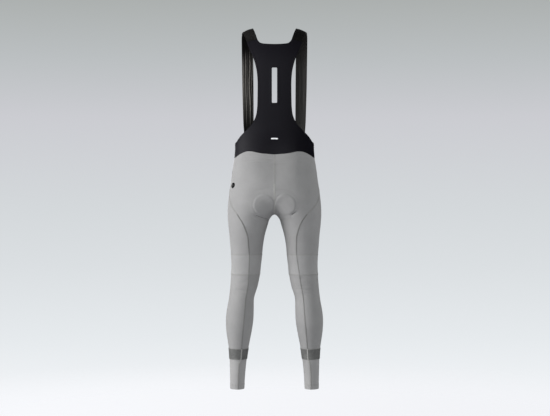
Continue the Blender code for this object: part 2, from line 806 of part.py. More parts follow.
def build_pad():
    """The seat pad, which follows the rise inside the cloth from the back to the front."""
    back = rise_points(PAD_BACK_TOP, -1, 200)[::-1]
    front = rise_points(PAD_FRONT_TOP, 1, 200)[1:]
    heights = np.concatenate([back, front])
    depth = np.concatenate([middle_depth(back, -1), middle_depth(front, 1)])
    length = np.concatenate([[0], np.cumsum(np.hypot(np.diff(heights), np.diff(depth)))])
    share = np.linspace(0, 1, PAD_STEPS + 1)
    spine_height = np.interp(share * length[-1], length, heights)
    spine_depth = np.interp(share * length[-1], length, depth)
    spine = np.stack([0 * share, spine_depth, spine_height], -1)
    across = np.linspace(-1, 1, PAD_COLUMNS_ACROSS + 1)
    half = smooth(share, PAD["share"], PAD["half_width"])
    thick = smooth(share, PAD["share"], PAD["thickness"])
    x = half[:, None] * across[None]
    facing = outward(0 * share, spine_depth, spine_height)[:, None]
    start = spine[:, None] + np.array([1.0, 0, 0]) * x[..., None] - 25 * facing
    run = halve(
        lambda r: form(*np.moveaxis(start + r[..., None] * facing, -1, 0)),
        np.zeros(x.shape),
        np.full(x.shape, 75.0),
    )
    surface = start + run[..., None] * facing
    normal = outward(*np.moveaxis(surface, -1, 0))
    edge = np.sqrt(np.clip(1 - abs(across) ** 4, 0, 1))[None]
    channel = 1 - 0.45 * np.exp(-((x / 7) ** 2))
    depth_here = 1.6 + (thick[:, None] - 1.6) * edge * channel
    outer = surface - (CLOTH + PAD_CLEARANCE) * normal
    inner = outer - depth_here[..., None] * normal
    cells = np.ones((PAD_STEPS, PAD_COLUMNS_ACROSS), bool)
    wall("seat_pad", outer, inner, cells, PAD_BLACK, 0.85)


def build_badge():
    """A thin round badge bonded to the cloth of the wearer's left hip."""
    side, height = BADGE_SIDE
    angle = torso_like_angle(-side, height)
    centre = place(angle, height)
    normal = outward(*centre)
    up = np.array([0, 0, 1.0]) - normal[2] * normal
    up /= np.linalg.norm(up)
    across = np.cross(up, normal)
    turn = np.linspace(0, 2 * np.pi, 25)[:-1]
    mesh = bpy.data.meshes.new("hip_badge")
    bm = bmesh.new()
    rings = []
    for lift, radius in ((SEAM_GAP, BADGE_RADIUS), (SEAM_GAP + BADGE_THICKNESS, BADGE_RADIUS - 0.5)):
        disc = centre + radius * (np.cos(turn)[:, None] * across + np.sin(turn)[:, None] * up)
        on_cloth = [settled(p) for p in disc]
        ring = [p + lift * outward(*p) for p in on_cloth]
        middle = centre + lift * normal
        rings.append(([bm.verts.new(to_space(p)) for p in ring], bm.verts.new(to_space(middle))))
    count = len(turn)
    for (ring, middle), flip in zip(rings, (True, False)):
        for k in range(count):
            face = [ring[k], ring[(k + 1) % count], middle]
            bm.faces.new(face[::-1] if flip else face)
    for k in range(count):
        low, high = rings[0][0], rings[1][0]
        bm.faces.new([low[k], low[(k + 1) % count], high[(k + 1) % count], high[k]])
    bmesh.ops.recalc_face_normals(bm, faces=bm.faces)
    bm.to_mesh(mesh)
    bm.free()
    mesh.materials.append(material("hip_badge", BLACK, 0.4))
    garment.objects.link(bpy.data.objects.new("hip_badge", mesh))


def torso_like_angle(x, height):
    """Angle round the leg centre of the back point that lies x millimetres from the middle."""
    low, high = np.array(-20.0), np.array(80.0)
    for _ in range(40):
        middle = (low + high) / 2
        wide = place(middle, height)[0] > x
        low, high = (middle, high) if wide else (low, middle)
    return (low + high) / 2


def to_space(point):
    point = point * np.array([-1, 1, 1])
    return (point[0] * MM, point[1] * MM, (point[2] - SHOULDER_HEIGHT) * MM)


for old in list(bpy.data.objects):
    bpy.data.objects.remove(old)
garment = bpy.data.collections.new("bib_tights")
cutters = bpy.data.collections.new("cutters")
bpy.context.scene.collection.children.link(garment)
bpy.context.scene.collection.children.link(cutters)

both_sides("seat_panel", *seat_points(), GREY)
both_sides("front_panel", *front_points(), GREY)
build_legs()
build_bib()
build_straps()
build_pad()
build_badge()
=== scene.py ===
# Long cycling tights with a bib, filled out as if worn and seen from behind.
# The garment's back faces -Y and +X is the wearer's right. Heights are millimetres above the
# ankle hems, and the origin is where the shoulders carry the straps.
import math

import bpy
import numpy as np
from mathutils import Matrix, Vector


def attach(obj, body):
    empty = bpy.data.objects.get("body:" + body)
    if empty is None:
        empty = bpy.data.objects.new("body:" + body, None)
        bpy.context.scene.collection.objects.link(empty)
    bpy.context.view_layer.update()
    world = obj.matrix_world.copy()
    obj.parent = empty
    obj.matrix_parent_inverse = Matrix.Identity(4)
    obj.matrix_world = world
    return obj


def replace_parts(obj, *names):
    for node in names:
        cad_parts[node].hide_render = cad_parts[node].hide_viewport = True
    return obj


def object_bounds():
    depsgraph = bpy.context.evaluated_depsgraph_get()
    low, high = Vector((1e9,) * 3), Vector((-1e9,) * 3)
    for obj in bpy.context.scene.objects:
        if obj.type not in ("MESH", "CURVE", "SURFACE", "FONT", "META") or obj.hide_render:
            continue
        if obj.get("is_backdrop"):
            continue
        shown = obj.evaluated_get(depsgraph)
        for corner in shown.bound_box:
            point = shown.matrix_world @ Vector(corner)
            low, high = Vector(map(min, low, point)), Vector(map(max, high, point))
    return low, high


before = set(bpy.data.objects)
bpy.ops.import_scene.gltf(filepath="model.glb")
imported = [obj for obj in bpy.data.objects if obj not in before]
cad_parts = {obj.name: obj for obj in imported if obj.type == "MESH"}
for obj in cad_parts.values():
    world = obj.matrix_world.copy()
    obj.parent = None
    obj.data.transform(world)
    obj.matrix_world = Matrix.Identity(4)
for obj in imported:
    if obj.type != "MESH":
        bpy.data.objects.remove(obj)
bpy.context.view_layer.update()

mm = 0.001
shoulderHeight = 1400.0

# The worn form: level sections of two ovals, one for each leg, that run together in the seat
bodyColumns = ("height", "inner", "outer", "front", "back", "blend", "power")
bodyRows = (
    (-30, 120.5, 171, 25, -37, 24, 2.0),
    (0, 118.3, 171.8, 26, -38, 24, 2.0),
    (60, 114.3, 173.2, 27, -41, 24, 2.0),
    (117, 108.4, 174.8, 30, -46, 24, 2.0),
    (158, 102.4, 177.2, 33, -54, 24, 2.0),
    (191, 96.0, 182.0, 36, -62, 24, 2.0),
    (230, 88.3, 187.2, 40, -72, 24, 2.0),
    (269, 82.6, 188.9, 43, -78, 24, 2.0),
    (308, 80.8, 185.5, 46, -77, 24, 2.0),
    (347, 80.4, 178.4, 48, -70, 24, 2.0),
    (406, 64.8, 172.0, 54, -58, 24, 2.1),
    (448, 56.6, 169.4, 60, -55, 24, 2.1),
    (484, 52.6, 168.0, 62, -56, 24, 2.1),
    (521, 48.4, 169.4, 63, -62, 24, 2.1),
    (562, 44.4, 172.6, 66, -71, 24, 2.0),
    (600, 37.8, 175.4, 71, -80, 24, 2.0),
    (640, 26.5, 179.6, 76, -92, 24, 2.0),
    (667, 17.2, 181.6, 79, -101, 24, 2.0),
    (681, 6.0, 182.0, 81, -106, 24, 2.0),
    (700, -14.0, 181.8, 84, -113, 30, 2.0),
    (720, -36.0, 180.6, 87, -119, 36, 2.05),
    (757, -76.0, 176.4, 86, -121, 44, 2.1),
    (796, -112.0, 171.0, 87, -117, 46, 2.15),
    (835, -140.0, 165.0, 90, -109, 36, 2.2),
    (874, -155.0, 158.6, 94, -98, 14, 2.2),
    (901, -156.2, 156.2, 96, -91, 0.5, 2.2),
    (945, -153.8, 153.8, 96, -84, 0.5, 2.2),
    (1000, -156, 156, 100, -87, 0.5, 2.3),
    (1080, -164, 164, 108, -96, 0.5, 2.4),
    (1160, -173, 173, 113, -104, 0.5, 2.4),
    (1230, -178, 178, 112, -106, 0.5, 2.4),
    (1290, -176, 176, 104, -97, 0.5, 2.4),
    (1330, -168, 168, 88, -80, 0.5, 2.3),
    (1365, -158, 158, 66, -58, 0.5, 2.2),
)
seamRows = (  # height, angle of the long seam, angle of the inside of the leg
    (0, 95.5, 205), (100, 97, 205), (122, 104.5, 205), (135, 106, 205), (300, 105, 205),
    (448, 102, 205), (521, 104, 205), (562, 102, 202), (600, 97, 198), (624, 90, 195),
    (659, 76, 188), (681, 61, 180), (705, 40, 180), (745, 14, 180), (800, -8, 180),
    (850, -22, 180), (882, -30, 180), (938, -30, 180),
)
seamLeanRows = (  # height, how far in the long seam leans on the right and the left leg, degrees
    (200, 0, 0), (300, 2, 2), (390, 3, 4), (448, 4, 1), (521, 7, -3), (562, 8, -5), (640, 9, -5),
    (681, 10, -3), (705, 8, -1), (745, 4, 0), (800, 0, 0),
)
waistRows = (  # angle, height
    (90, 914), (72, 915.5), (62, 916.5), (54, 918.5), (46, 921.8), (40, 924), (34, 924),
    (28, 920.5), (22, 914.5), (15, 906), (0, 899), (-15, 891), (-30, 882),
)
frontEdgeRows = ((-90, 914), (-75, 919), (-55, 934), (-40, 939), (-30, 938))
armholeRows = (  # height, half the panel's width
    (955, 150.5), (966, 144.5), (977, 136.5), (988, 127.0), (998, 116.0), (1006, 106.5),
    (1018, 94.0), (1031, 84.5), (1042, 78.5), (1058, 71.7), (1088, 66.6), (1119, 65.2),
    (1150, 64.7), (1180, 64.5), (1210, 65.8), (1241, 70.2), (1262, 75.5), (1285, 83.0),
    (1310, 93.6), (1346, 107.0),
)

pad = {
    "lobeSide": 41, "lobeHeight": 718, "lobeRadius": 42, "lobeRise": 3.4, "lobeEdge": 6,
    "borderRise": 1.2, "borderMargin": 15, "borderEdge": 14,
    "backTop": 772, "frontTop": 748, "clearance": 1.3,
    "rim": 1.6,  # thickness at its sewn edge
    "channels": ((0, 7, 0.45), (52, 4, 0.25)),  # from the middle, half width, share pressed in
    "crossChannel": (70, 4, 0.3),  # from the back end, half width, share pressed in
    "rows": (  # share of the run, half width, thickness
        (0.0, 58, 2.5), (0.10, 80, 5.0), (0.25, 84, 9.0), (0.38, 66, 9.0), (0.52, 30, 8.0),
        (0.66, 17, 7.0), (0.80, 24, 6.5), (0.92, 36, 5.0), (1.0, 34, 2.5),
    ),
    "steps": 88, "across": 48,
}


def columns(rows, names):
    return {name: np.array([row[i] for row in rows], float) for i, name in enumerate(names)}


bodyTable = columns(bodyRows, bodyColumns)
seamTable = columns(seamRows, ("height", "outerAngle", "innerAngle"))
seamLean = columns(seamLeanRows, ("height", "right", "left"))
waistTable = columns(waistRows, ("angle", "height"))
frontEdgeTable = columns(frontEdgeRows, ("angle", "height"))
armholeTable = columns(armholeRows, ("height", "halfWidth"))


def smoothCurve(x, xs, ys):
    # cubic pieces through the points of a table, with slopes limited so that none overshoots
    order = np.argsort(xs)
    xs, ys = xs[order], ys[order]
    width = np.diff(xs)
    slope = np.diff(ys) / width
    tangent = np.empty(len(xs))
    tangent[0], tangent[-1] = slope[0], slope[-1]
    before, after = slope[:-1], slope[1:]
    mean = (before * width[1:] + after * width[:-1]) / (width[1:] + width[:-1])
    limit = 3 * np.minimum(abs(before), abs(after))
    tangent[1:-1] = np.where(before * after <= 0, 0, np.clip(mean, -limit, limit))
    x = np.clip(np.asarray(x, float), xs[0], xs[-1])
    i = np.clip(np.searchsorted(xs, x, side="right") - 1, 0, len(xs) - 2)
    t = (x - xs[i]) / width[i]
    return (
        ys[i] * (1 + 2 * t) * (1 - t) ** 2
        + tangent[i] * width[i] * t * (1 - t) ** 2
        + ys[i + 1] * t * t * (3 - 2 * t)
        + tangent[i + 1] * width[i] * t * t * (t - 1)
    )


def bodyAt(column, height):
    return smoothCurve(height, bodyTable["height"], bodyTable[column])


def seamAt(column, height):
    angle = smoothCurve(height, seamTable["height"], seamTable[column])
    if column == "outerAngle":
        angle = angle + smoothCurve(height, seamLean["height"], seamLean[legs["side"]])
    return angle


def ramp(x):
    # 0 below 0, 1 above 1, an S curve between
    x = np.clip(x, 0, 1)
    return x * x * (3 - 2 * x)


def bump(x, width):
    # a bell of height 1 that is down to a third at the given width
    return np.exp(-((x / width) ** 2))


def atBack(y):
    # 1 behind and 0 in front, fading over the 30 mm behind the side
    return ramp(-y / 30)


def padRelief(x, y, height):
    # the two lobes of the pad, and the border round them, pressed through the seat
    past = np.hypot(abs(x) - pad["lobeSide"], height - pad["lobeHeight"]) - pad["lobeRadius"]
    lobe = pad["lobeRise"] * ramp(-past / pad["lobeEdge"])
    border = pad["borderRise"] * ramp((pad["borderMargin"] - past) / pad["borderEdge"])
    return atBack(y) * np.maximum(lobe, border)


def wornForm(x, y, height):
    # distance outside the form: the nearer of two superellipse ovals, blended where they meet
    inner, outer = bodyAt("inner", height), bodyAt("outer", height)
    front, back = bodyAt("front", height), bodyAt("back", height)
    blend, power = bodyAt("blend", height), bodyAt("power", height)
    middle, half = (inner + outer) / 2, (outer - inner) / 2
    centre, depth = (front + back) / 2, (front - back) / 2
    dy = y - centre
    outside = []
    for dx in (x - middle, x + middle):
        dx = dx + 1e-7
        share = ((abs(dx) / half) ** power + (abs(dy) / depth) ** power) ** (1 / power)
        reach = np.hypot(dx, dy)
        outside.append(reach - reach / share)
    near = np.maximum(blend - abs(outside[0] - outside[1]), 0) / blend
    return np.minimum(*outside) - near * near * blend / 4 - padRelief(x, y, height)


def outward(points):
    # unit normals from small central differences of the form
    x, y, height = points[..., 0], points[..., 1], points[..., 2]
    d = 0.05
    n = np.stack(
        [
            wornForm(x + d, y, height) - wornForm(x - d, y, height),
            wornForm(x, y + d, height) - wornForm(x, y - d, height),
            wornForm(x, y, height + d) - wornForm(x, y, height - d),
        ],
        -1,
    )
    return n / np.linalg.norm(n, axis=-1, keepdims=True)


def halved(value, low, high, steps=40):
    # where value(t) turns from negative to positive, by repeated halving
    for _ in range(steps):
        middle = (low + high) / 2
        inside = value(middle) < 0
        low = np.where(inside, middle, low)
        high = np.where(inside, high, middle)
    return (low + high) / 2


def legCentre(height):
    return (
        (bodyAt("inner", height) + bodyAt("outer", height)) / 2,
        (bodyAt("front", height) + bodyAt("back", height)) / 2,
    )


farReach = 320.0  # beyond any point of the form


def onLeg(angle, height):
    # point of the form on the ray from the leg's centre: 0 degrees outside, 90 at the back
    angle, height = np.broadcast_arrays(np.radians(angle), np.asarray(height, float))
    middle, centre = legCentre(height)
    along, down = np.cos(angle), -np.sin(angle)
    toMiddle = np.minimum(middle / np.maximum(-along, 1e-9), farReach)
    far = np.where((along < 0) & (middle > 1), toMiddle, farReach)
    reach = halved(
        lambda r: wornForm(middle + r * along, centre + r * down, height), np.zeros(angle.shape), far
    )
    return np.stack([middle + reach * along, centre + reach * down, height], -1)


def middleDepth(height, side):
    # how far front (1) or back (-1) the form reaches in the middle plane
    height = np.asarray(height, float)
    centre = legCentre(height)[1]
    reach = halved(
        lambda r: wornForm(0 * height, centre + side * r, height),
        np.zeros(height.shape),
        np.full(height.shape, farReach),
    )
    return centre + side * reach


# the lowest height at which the two ovals have run together, and a hair above it
crotch = 0.02 + float(
    halved(lambda height: -wornForm(0.0, legCentre(height)[1], height), 640.0, 740.0, 46)
)
waistMiddle = waistRows[0][1]


def lengthAlong(points):
    # running length down the first axis of an array of points
    steps = np.linalg.norm(np.diff(points, axis=0), axis=-1)
    return np.concatenate([np.zeros((1, *steps.shape[1:])), np.cumsum(steps, axis=0)])


def riseHeights(top, side, count):
    # heights spread evenly by length along the middle of the rise, from the crotch up
    heights = crotch + (top - crotch) * np.linspace(0, 1, 400) ** 2
    length = lengthAlong(np.stack([heights, middleDepth(heights, side)], -1))
    return np.interp(np.linspace(0, 1, count + 1) * length[-1], length, heights)


def riseAngle(height, side):
    middle, centre = legCentre(height)
    return np.degrees(np.arctan2(centre - middleDepth(height, side), -middle)) % 360


def coons(top, bottom, left, right):
    # four edges filled in: the two ruled surfaces less the one through the corners
    u = np.linspace(0, 1, len(top))[None, :, None]
    v = np.linspace(0, 1, len(left))[:, None, None]
    across = (1 - v) * top[None] + v * bottom[None]
    down = (1 - u) * left[:, None] + u * right[:, None]
    upper = (1 - u) * top[0] + u * top[-1]
    lower = (1 - u) * bottom[0] + u * bottom[-1]
    return across + down - (1 - v) * upper - v * lower


def settled(points, rounds=14):
    # Newton steps straight onto the form
    points = np.array(points, float)
    for _ in range(rounds):
        normal = outward(points)
        here = wornForm(points[..., 0], points[..., 1], points[..., 2])
        ahead = points + 0.05 * normal
        slope = (wornForm(ahead[..., 0], ahead[..., 1], ahead[..., 2]) - here) / 0.05
        move = np.clip(here / np.maximum(slope, 0.3), -8, 8)
        points = points - move[..., None] * normal
    return points


def keptEdges(top, bottom, left, right):
    grid = settled(coons(top, bottom, left, right))
    grid[0], grid[-1] = top, bottom
    grid[:, 0], grid[:, -1] = left, right
    return grid


def mirrored(points):
    return points * np.array([-1, 1, 1])


# The cut of the legs: heights of the cross seams, and how finely each panel is drawn
legs = {
    "side": "right",  # the leg that is being worked out, which the loops over the sides set
    "kneeTop": 525, "kneeBottom": 448, "bandTop": 161.5, "bandBottom": 121, "hem": 3.8,
    "bandRise": 1.6, "cuffTuck": 0.2, "wall": 1.3, "seamGap": 0.3,
    "sideAngle": -30, "sideTop": 938, "sideBottom": 882, "thighTop": 690, "bridgeRise": 36,
    "bridge": 18, "seatWrap": 72, "frontWrap": 56,
    "riseRows": 84, "sideRows": 16, "thighRows": 56,
    "riseCrowd": 1.2, "thighCrowd": 1.15, "innerCrowd": 1.35,  # powers that crowd the rows
}


def waistAt(angle):
    return smoothCurve(angle, waistTable["angle"], waistTable["height"])


def frontEdgeAt(angle):
    return smoothCurve(angle, frontEdgeTable["angle"], frontEdgeTable["height"])


def outerHeights():
    upper = legs["thighTop"] + (legs["sideBottom"] - legs["thighTop"]) * (
        np.linspace(1, 0, legs["riseRows"] + 1) ** legs["riseCrowd"]
    )
    lower = legs["thighTop"] + (legs["kneeTop"] - legs["thighTop"]) * (
        np.linspace(0, 1, legs["thighRows"] + 1) ** legs["thighCrowd"]
    )
    return upper, lower


def longSeam(heights):
    return onLeg(seamAt("outerAngle", heights), heights)


def hipRow(side, wrap):
    # the row from the upper end of the bridge round to the long seam
    top = crotch + legs["bridgeRise"]
    angle = riseAngle(np.array(top), side)
    end = seamAt("outerAngle", legs["thighTop"]) + (360 if side > 0 else 0)
    share = np.linspace(0, 1, wrap + 1)
    row = onLeg(angle + (end - angle) * share, top + (legs["thighTop"] - top) * share)
    row[0] = (0, middleDepth(top, side), top)
    return row


def torsoPatch(side, top, longRows, last):
    middle = np.linspace(top[0, 2], crotch + legs["bridgeRise"], 400)
    length = lengthAlong(np.stack([middle, middleDepth(middle, side)], -1))
    share = 1 - np.linspace(1, 0, len(longRows)) ** legs["riseCrowd"]
    rise = np.interp(share * length[-1], length, middle)
    left = np.stack([0 * rise, middleDepth(rise, side), rise], -1)
    right = longSeam(longRows)
    top[0], top[-1] = left[0], right[0]
    return keptEdges(top, last, left, right)


def thighPatch(side, wrap, last):
    under = riseHeights(crotch + legs["bridgeRise"], side, legs["bridge"])
    arch = np.stack([0 * under, middleDepth(under, side), under], -1)
    down = np.linspace(0, 1, legs["thighRows"] + 1) ** legs["innerCrowd"]
    inner = crotch + (legs["kneeTop"] - crotch) * down
    share = np.linspace(0, 1, legs["bridge"] + wrap + 1)
    start = seamAt("innerAngle", legs["kneeTop"])
    end = seamAt("outerAngle", legs["kneeTop"]) + (360 if side > 0 else 0)
    top = np.concatenate([arch, last[1:]])
    bottom = onLeg(start + (end - start) * share, legs["kneeTop"])
    left = onLeg(seamAt("innerAngle", inner), inner)
    left[0] = arch[0]
    return keptEdges(top, bottom, left, longSeam(outerHeights()[1]))


def panelGrid(side, wrap, top, longRows):
    # half of the seat (side -1) or of the front (side 1), down to the knee: the torso's patch
    # stands on the leg's, which is wider by the bridge's columns under the crotch
    last = hipRow(side, wrap)
    torso, leg = torsoPatch(side, top, longRows, last), thighPatch(side, wrap, last)
    above, bridge = len(torso) - 1, legs["bridge"]
    grid = np.zeros((above + len(leg), leg.shape[1], 3))
    grid[above:] = leg
    grid[:above, bridge:] = torso[:-1]
    grid[:above, :bridge] = leg[0, :bridge]
    cells = np.ones((grid.shape[0] - 1, grid.shape[1] - 1), bool)
    cells[:above, :bridge] = False
    return grid, cells


def waistRow():
    angle = np.linspace(90, legs["sideAngle"], legs["seatWrap"] + 1)
    row = onLeg(angle, waistAt(angle))
    row[0, 0] = 0
    return row


def frontRow():
    angle = np.linspace(-90, legs["sideAngle"], legs["frontWrap"] + 1)
    return onLeg(angle, frontEdgeAt(angle))


def ringGrid(top, bottom, rows, around):
    # a tube round the leg, open along the long seam at the back
    grid = []
    for height in np.linspace(top, bottom, rows + 1):
        outer, inner = seamAt("outerAngle", height), seamAt("innerAngle", height)
        behind = outer + (inner - outer) * np.linspace(0, 1, around // 2 + 1)
        ahead = inner + (outer + 360 - inner) * np.linspace(0, 1, around - around // 2 + 1)
        grid.append(onLeg(np.concatenate([behind, ahead[1:]]), height))
    grid = np.array(grid)
    return grid, np.ones((grid.shape[0] - 1, grid.shape[1] - 1), bool)


# Low relief of the grey cloth over the plain form: depth or rise, then half width, in mm
relief = {
    "padEdge": (0.5, 2.2),  # the groove round each lobe of the pad
    "flange": (0.8, 3.0),  # the line of the pad's upper edge
    "flangeLine": (780, 6, 9, 0.0016),  # height, a notch's depth and half width, fall by x squared
    "flangeEnd": (78, 12),  # how far it runs from the middle, and its fade
    "kneeCrease": (1.6, 6.0), "kneeSag": -2.5,
    "kneeRidge": (9, 0.6),  # how far above each crease, and its share of the crease's depth
    "kneeSkew": 1.5,  # the right knee's creases lie this far above, the left's below their rows
    "kneeBehind": (12, 30),  # how far behind the middle plane they begin, and their fade
    "hollow": (10.0, 60.0),  # the shallow hollow down the middle of the lower back
    "hollowHeights": (738, 60, 1016, 96),  # its lower end and fade, its upper end and fade
    "sideStep": 2.0,  # how far the cloth steps down beside the back on the wearer's right
    "stepAcross": (80, 26, 168, 60), "stepHeights": (745, 40, 990, 50),
    "fold": (2.6, 20.0),  # how the leg's two halves meet in a soft ridge at the long seam
    "foldTop": (680, 90),  # height at which it has died out, and its fade
    "cuffFold": (3.4, 46.0),  # the flatter halves of the cuff
    "cuffFoldTop": (10, 40),  # how far under the reflective band it has died out, and its fade
}
# creases of the seat: the ends (sideways, height, twice), sag, depth, half width
seatCreases = (
    (-86, 684, -12, 660, -3, 3.0, 3.6), (-86, 675, -12, 651, -3, -1.2, 3.6),
    (58, 672, 92, 694, 2, 2.7, 4.68),
    # fine ones that the waist seam draws into the seat
    (-138, 900, -44, 904, 1.5, 0.85, 1.8), (-132, 889, -60, 894, 1.5, 0.85, 1.8),
    (-112, 880, -38, 886, 1.5, 0.85, 1.8), (-60, 897, 20, 896, 1.5, 0.85, 1.8),
    (22, 889, 96, 895, 1.5, 0.85, 1.8), (48, 902, 128, 903, 1.5, 0.85, 1.8),
    (-20, 878, 58, 882, 1.5, 0.85, 1.8), (84, 884, 140, 888, 1.5, 0.85, 1.8),
)
kneeCreases = (  # the ends, and the share of the depth
    (70, 394, 160, 390, 1.0), (66, 407, 128, 402, 0.55), (96, 374, 168, 379, 0.6),
    (72, 436, 120, 431, 0.45), (104, 422, 160, 419, 0.4), (62, 540, 118, 533, 0.35),
    (100, 556, 164, 549, 0.3),
)


def between(value, low, lowFade, high, highFade):
    # 1 between low and high, fading to 0 at both
    return ramp((value - low) / lowFade) * ramp((high - value) / highFade)


def creaseLine(x, height, ends, sag, depth, width):
    # a trough along a shallow bow between two ends, fading out towards both
    x0, h0, x1, h1 = ends
    size = math.hypot(x1 - x0, h1 - h0)
    alongX, alongH = (x1 - x0) / size, (h1 - h0) / size
    t = ((x - x0) * alongX + (height - h0) * alongH) / size
    off = (height - h0) * alongX - (x - x0) * alongH - sag * 4 * t * (1 - t)
    return depth * between(t, 0, 0.25, 1, 0.25) * bump(off, width)


def backHollow(points, mirror=1):
    # a hollow down the middle, and on the wearer's right a step down that rises again at the side
    x, y, height = points[..., 0] * mirror, points[..., 1], points[..., 2]
    depth, width = relief["hollow"]
    hollow = depth * bump(x, width) * between(height, *relief["hollowHeights"])
    step = between(x, *relief["stepAcross"]) * between(height, *relief["stepHeights"])
    return -(hollow + relief["sideStep"] * step) * atBack(y)


def legFold(points):
    # the ridge at the long seam, wherever the points are on the leg, with flatter sides on the cuff
    height = points[..., 2]
    away = np.linalg.norm(points - longSeam(height), axis=-1)
    (rise, width), (top, fade) = relief["fold"], relief["foldTop"]
    ridge = rise * np.exp(-np.sqrt(away**2 + 2.0) / width) * ramp((top - height) / fade)
    (rise, width), (under, fade) = relief["cuffFold"], relief["cuffFoldTop"]
    cuff = rise * np.clip(1 - np.sqrt(away**2 + 1.0) / width, 0, 1) ** 1.5
    return ridge + cuff * ramp((legs["bandTop"] - under - height) / fade)


def clothRelief(points, mirror):
    # mirror is -1 on the wearer's left, where x is turned back to its real side
    x, y, height = points[..., 0] * mirror, points[..., 1], points[..., 2]
    reach = np.hypot(abs(x) - pad["lobeSide"], height - pad["lobeHeight"])
    depth, width = relief["padEdge"]
    out = -depth * bump(reach - pad["lobeRadius"] - 1, width)
    (depth, width), (end, fade) = relief["flange"], relief["flangeEnd"]
    level, notch, notchWidth, fall = relief["flangeLine"]
    flangeHeight = level - notch * bump(x, notchWidth) - fall * x * x
    out = out - depth * bump(height - flangeHeight, width) * ramp((end - abs(x)) / fade)
    for *ends, sag, depth, width in seatCreases:
        out = out - creaseLine(x, height, ends, sag, depth, width)
    return atBack(y) * out + backHollow(points, mirror)


def kneeRelief(points, mirror):
    # creases behind the knee, each with a lower ridge above it
    side, y, height = abs(points[..., 0]), points[..., 1], points[..., 2]
    (depth, width), (above, lower) = relief["kneeCrease"], relief["kneeRidge"]
    out = 0 * side
    for x0, h0, x1, h1, share in kneeCreases:
        for up, part in ((relief["kneeSkew"] * mirror, 1.0), (above, -lower)):
            ends = (x0, h0 + up, x1, h1 + up)
            out = out - creaseLine(side, height, ends, relief["kneeSag"], depth * share * part, width)
    behind, fade = relief["kneeBehind"]
    return ramp((-y - behind) / fade) * out


def hexColour(code):
    # sRGB hex to linear
    values = np.array([int(code[i : i + 2], 16) for i in (1, 3, 5)]) / 255
    return tuple(np.where(values <= 0.04045, values / 12.92, ((values + 0.055) / 1.055) ** 2.4)) + (1.0,)


def addNode(tree, kind, settings=None, links=None):
    # one node with its settings by name and its inputs by name or number
    node = tree.nodes.new(kind)
    for name, value in (settings or {}).items():
        setattr(node, name, value)
    for socket, value in (links or {}).items():
        if isinstance(value, bpy.types.NodeSocket):
            tree.links.new(value, node.inputs[socket])
        else:
            node.inputs[socket].default_value = value
    return node

def calculated(tree, operation, *values):
    inputs = dict(enumerate(values))
    return addNode(tree, "ShaderNodeMath", {"operation": operation}, inputs).outputs[0]


def remapped(tree, value, low, high, toLow, toHigh, kind="LINEAR"):
    # value carried from low..high to toLow..toHigh and held at both ends
    inputs = {0: value, 1: low, 2: high, 3: toLow, 4: toHigh}
    return addNode(tree, "ShaderNodeMapRange", {"interpolation_type": kind}, inputs).outputs[0]


def makeObject(name, verts, faces, material, slotName=None, uv=None, values=None):
    # verts in millimetres above the hem; uv and values are given for each vertex
    used = np.unique(np.concatenate([f.ravel() for f in faces]))
    place = np.full(len(verts), -1)
    place[used] = np.arange(len(used))
    co = (verts[used] - (0, 0, shoulderHeight)) * mm
    corners = np.concatenate([place[f].ravel() for f in faces]).astype(np.int32)
    sizes = np.concatenate([np.full(len(f), f.shape[1]) for f in faces])
    starts = np.concatenate([[0], np.cumsum(sizes)[:-1]]).astype(np.int32)
    mesh = bpy.data.meshes.new(name)
    mesh.vertices.add(len(co))
    mesh.vertices.foreach_set("co", co.astype(np.float32).ravel())
    mesh.loops.add(len(corners))
    mesh.loops.foreach_set("vertex_index", corners)
    mesh.polygons.add(len(sizes))
    mesh.polygons.foreach_set("loop_start", starts)
    mesh.update(calc_edges=True)
    if uv is not None:
        layer = mesh.uv_layers.new(name="cloth")
        layer.data.foreach_set("uv", (uv[used][corners] * mm).astype(np.float32).ravel())
    for key, value in (values or {}).items():
        layer = mesh.attributes.new(key, "FLOAT", "POINT")
        layer.data.foreach_set("value", value[used].astype(np.float32))
    mesh.validate()
    mesh.shade_smooth()
    mesh.set_sharp_from_angle(angle=math.radians(55))
    mesh.materials.append(material)
    made = bpy.data.objects.new(name, mesh)
    bpy.context.scene.collection.objects.link(made)
    if slotName:
        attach(made, "root")
    return made


def gridFaces(cells, flip):
    # quads of the outer face, the inner face and the rim of a wall between two grids
    rows, cols = cells.shape
    index = np.arange((rows + 1) * (cols + 1)).reshape(rows + 1, cols + 1)
    ring = np.stack([index[:-1, :-1], index[:-1, 1:], index[1:, 1:], index[1:, :-1]], -1)
    count = index.size
    outer = ring[cells]
    if flip:
        outer = outer[:, ::-1]
    inner = outer[:, ::-1] + count
    empty = np.pad(~cells, 1, constant_values=True)
    beside = (empty[:-2, 1:-1], empty[1:-1, 2:], empty[2:, 1:-1], empty[1:-1, :-2])
    rims = []
    for k, bare in enumerate(beside):
        edge = ring[cells & bare]
        a, b = edge[:, k], edge[:, (k + 1) % 4]
        rim = np.stack([b, a, a + count, b + count], -1)
        rims.append(rim[:, ::-1] if flip else rim)
    return [outer, inner, *rims]


def tubeFaces(index):
    # quads between each ring of point numbers and the next, closed round the ring
    turned = np.roll(index, -1, -1)
    quads = [index[..., :-1, :], index[..., 1:, :], turned[..., 1:, :], turned[..., :-1, :]]
    return np.stack(quads, -1).reshape(-1, 4)


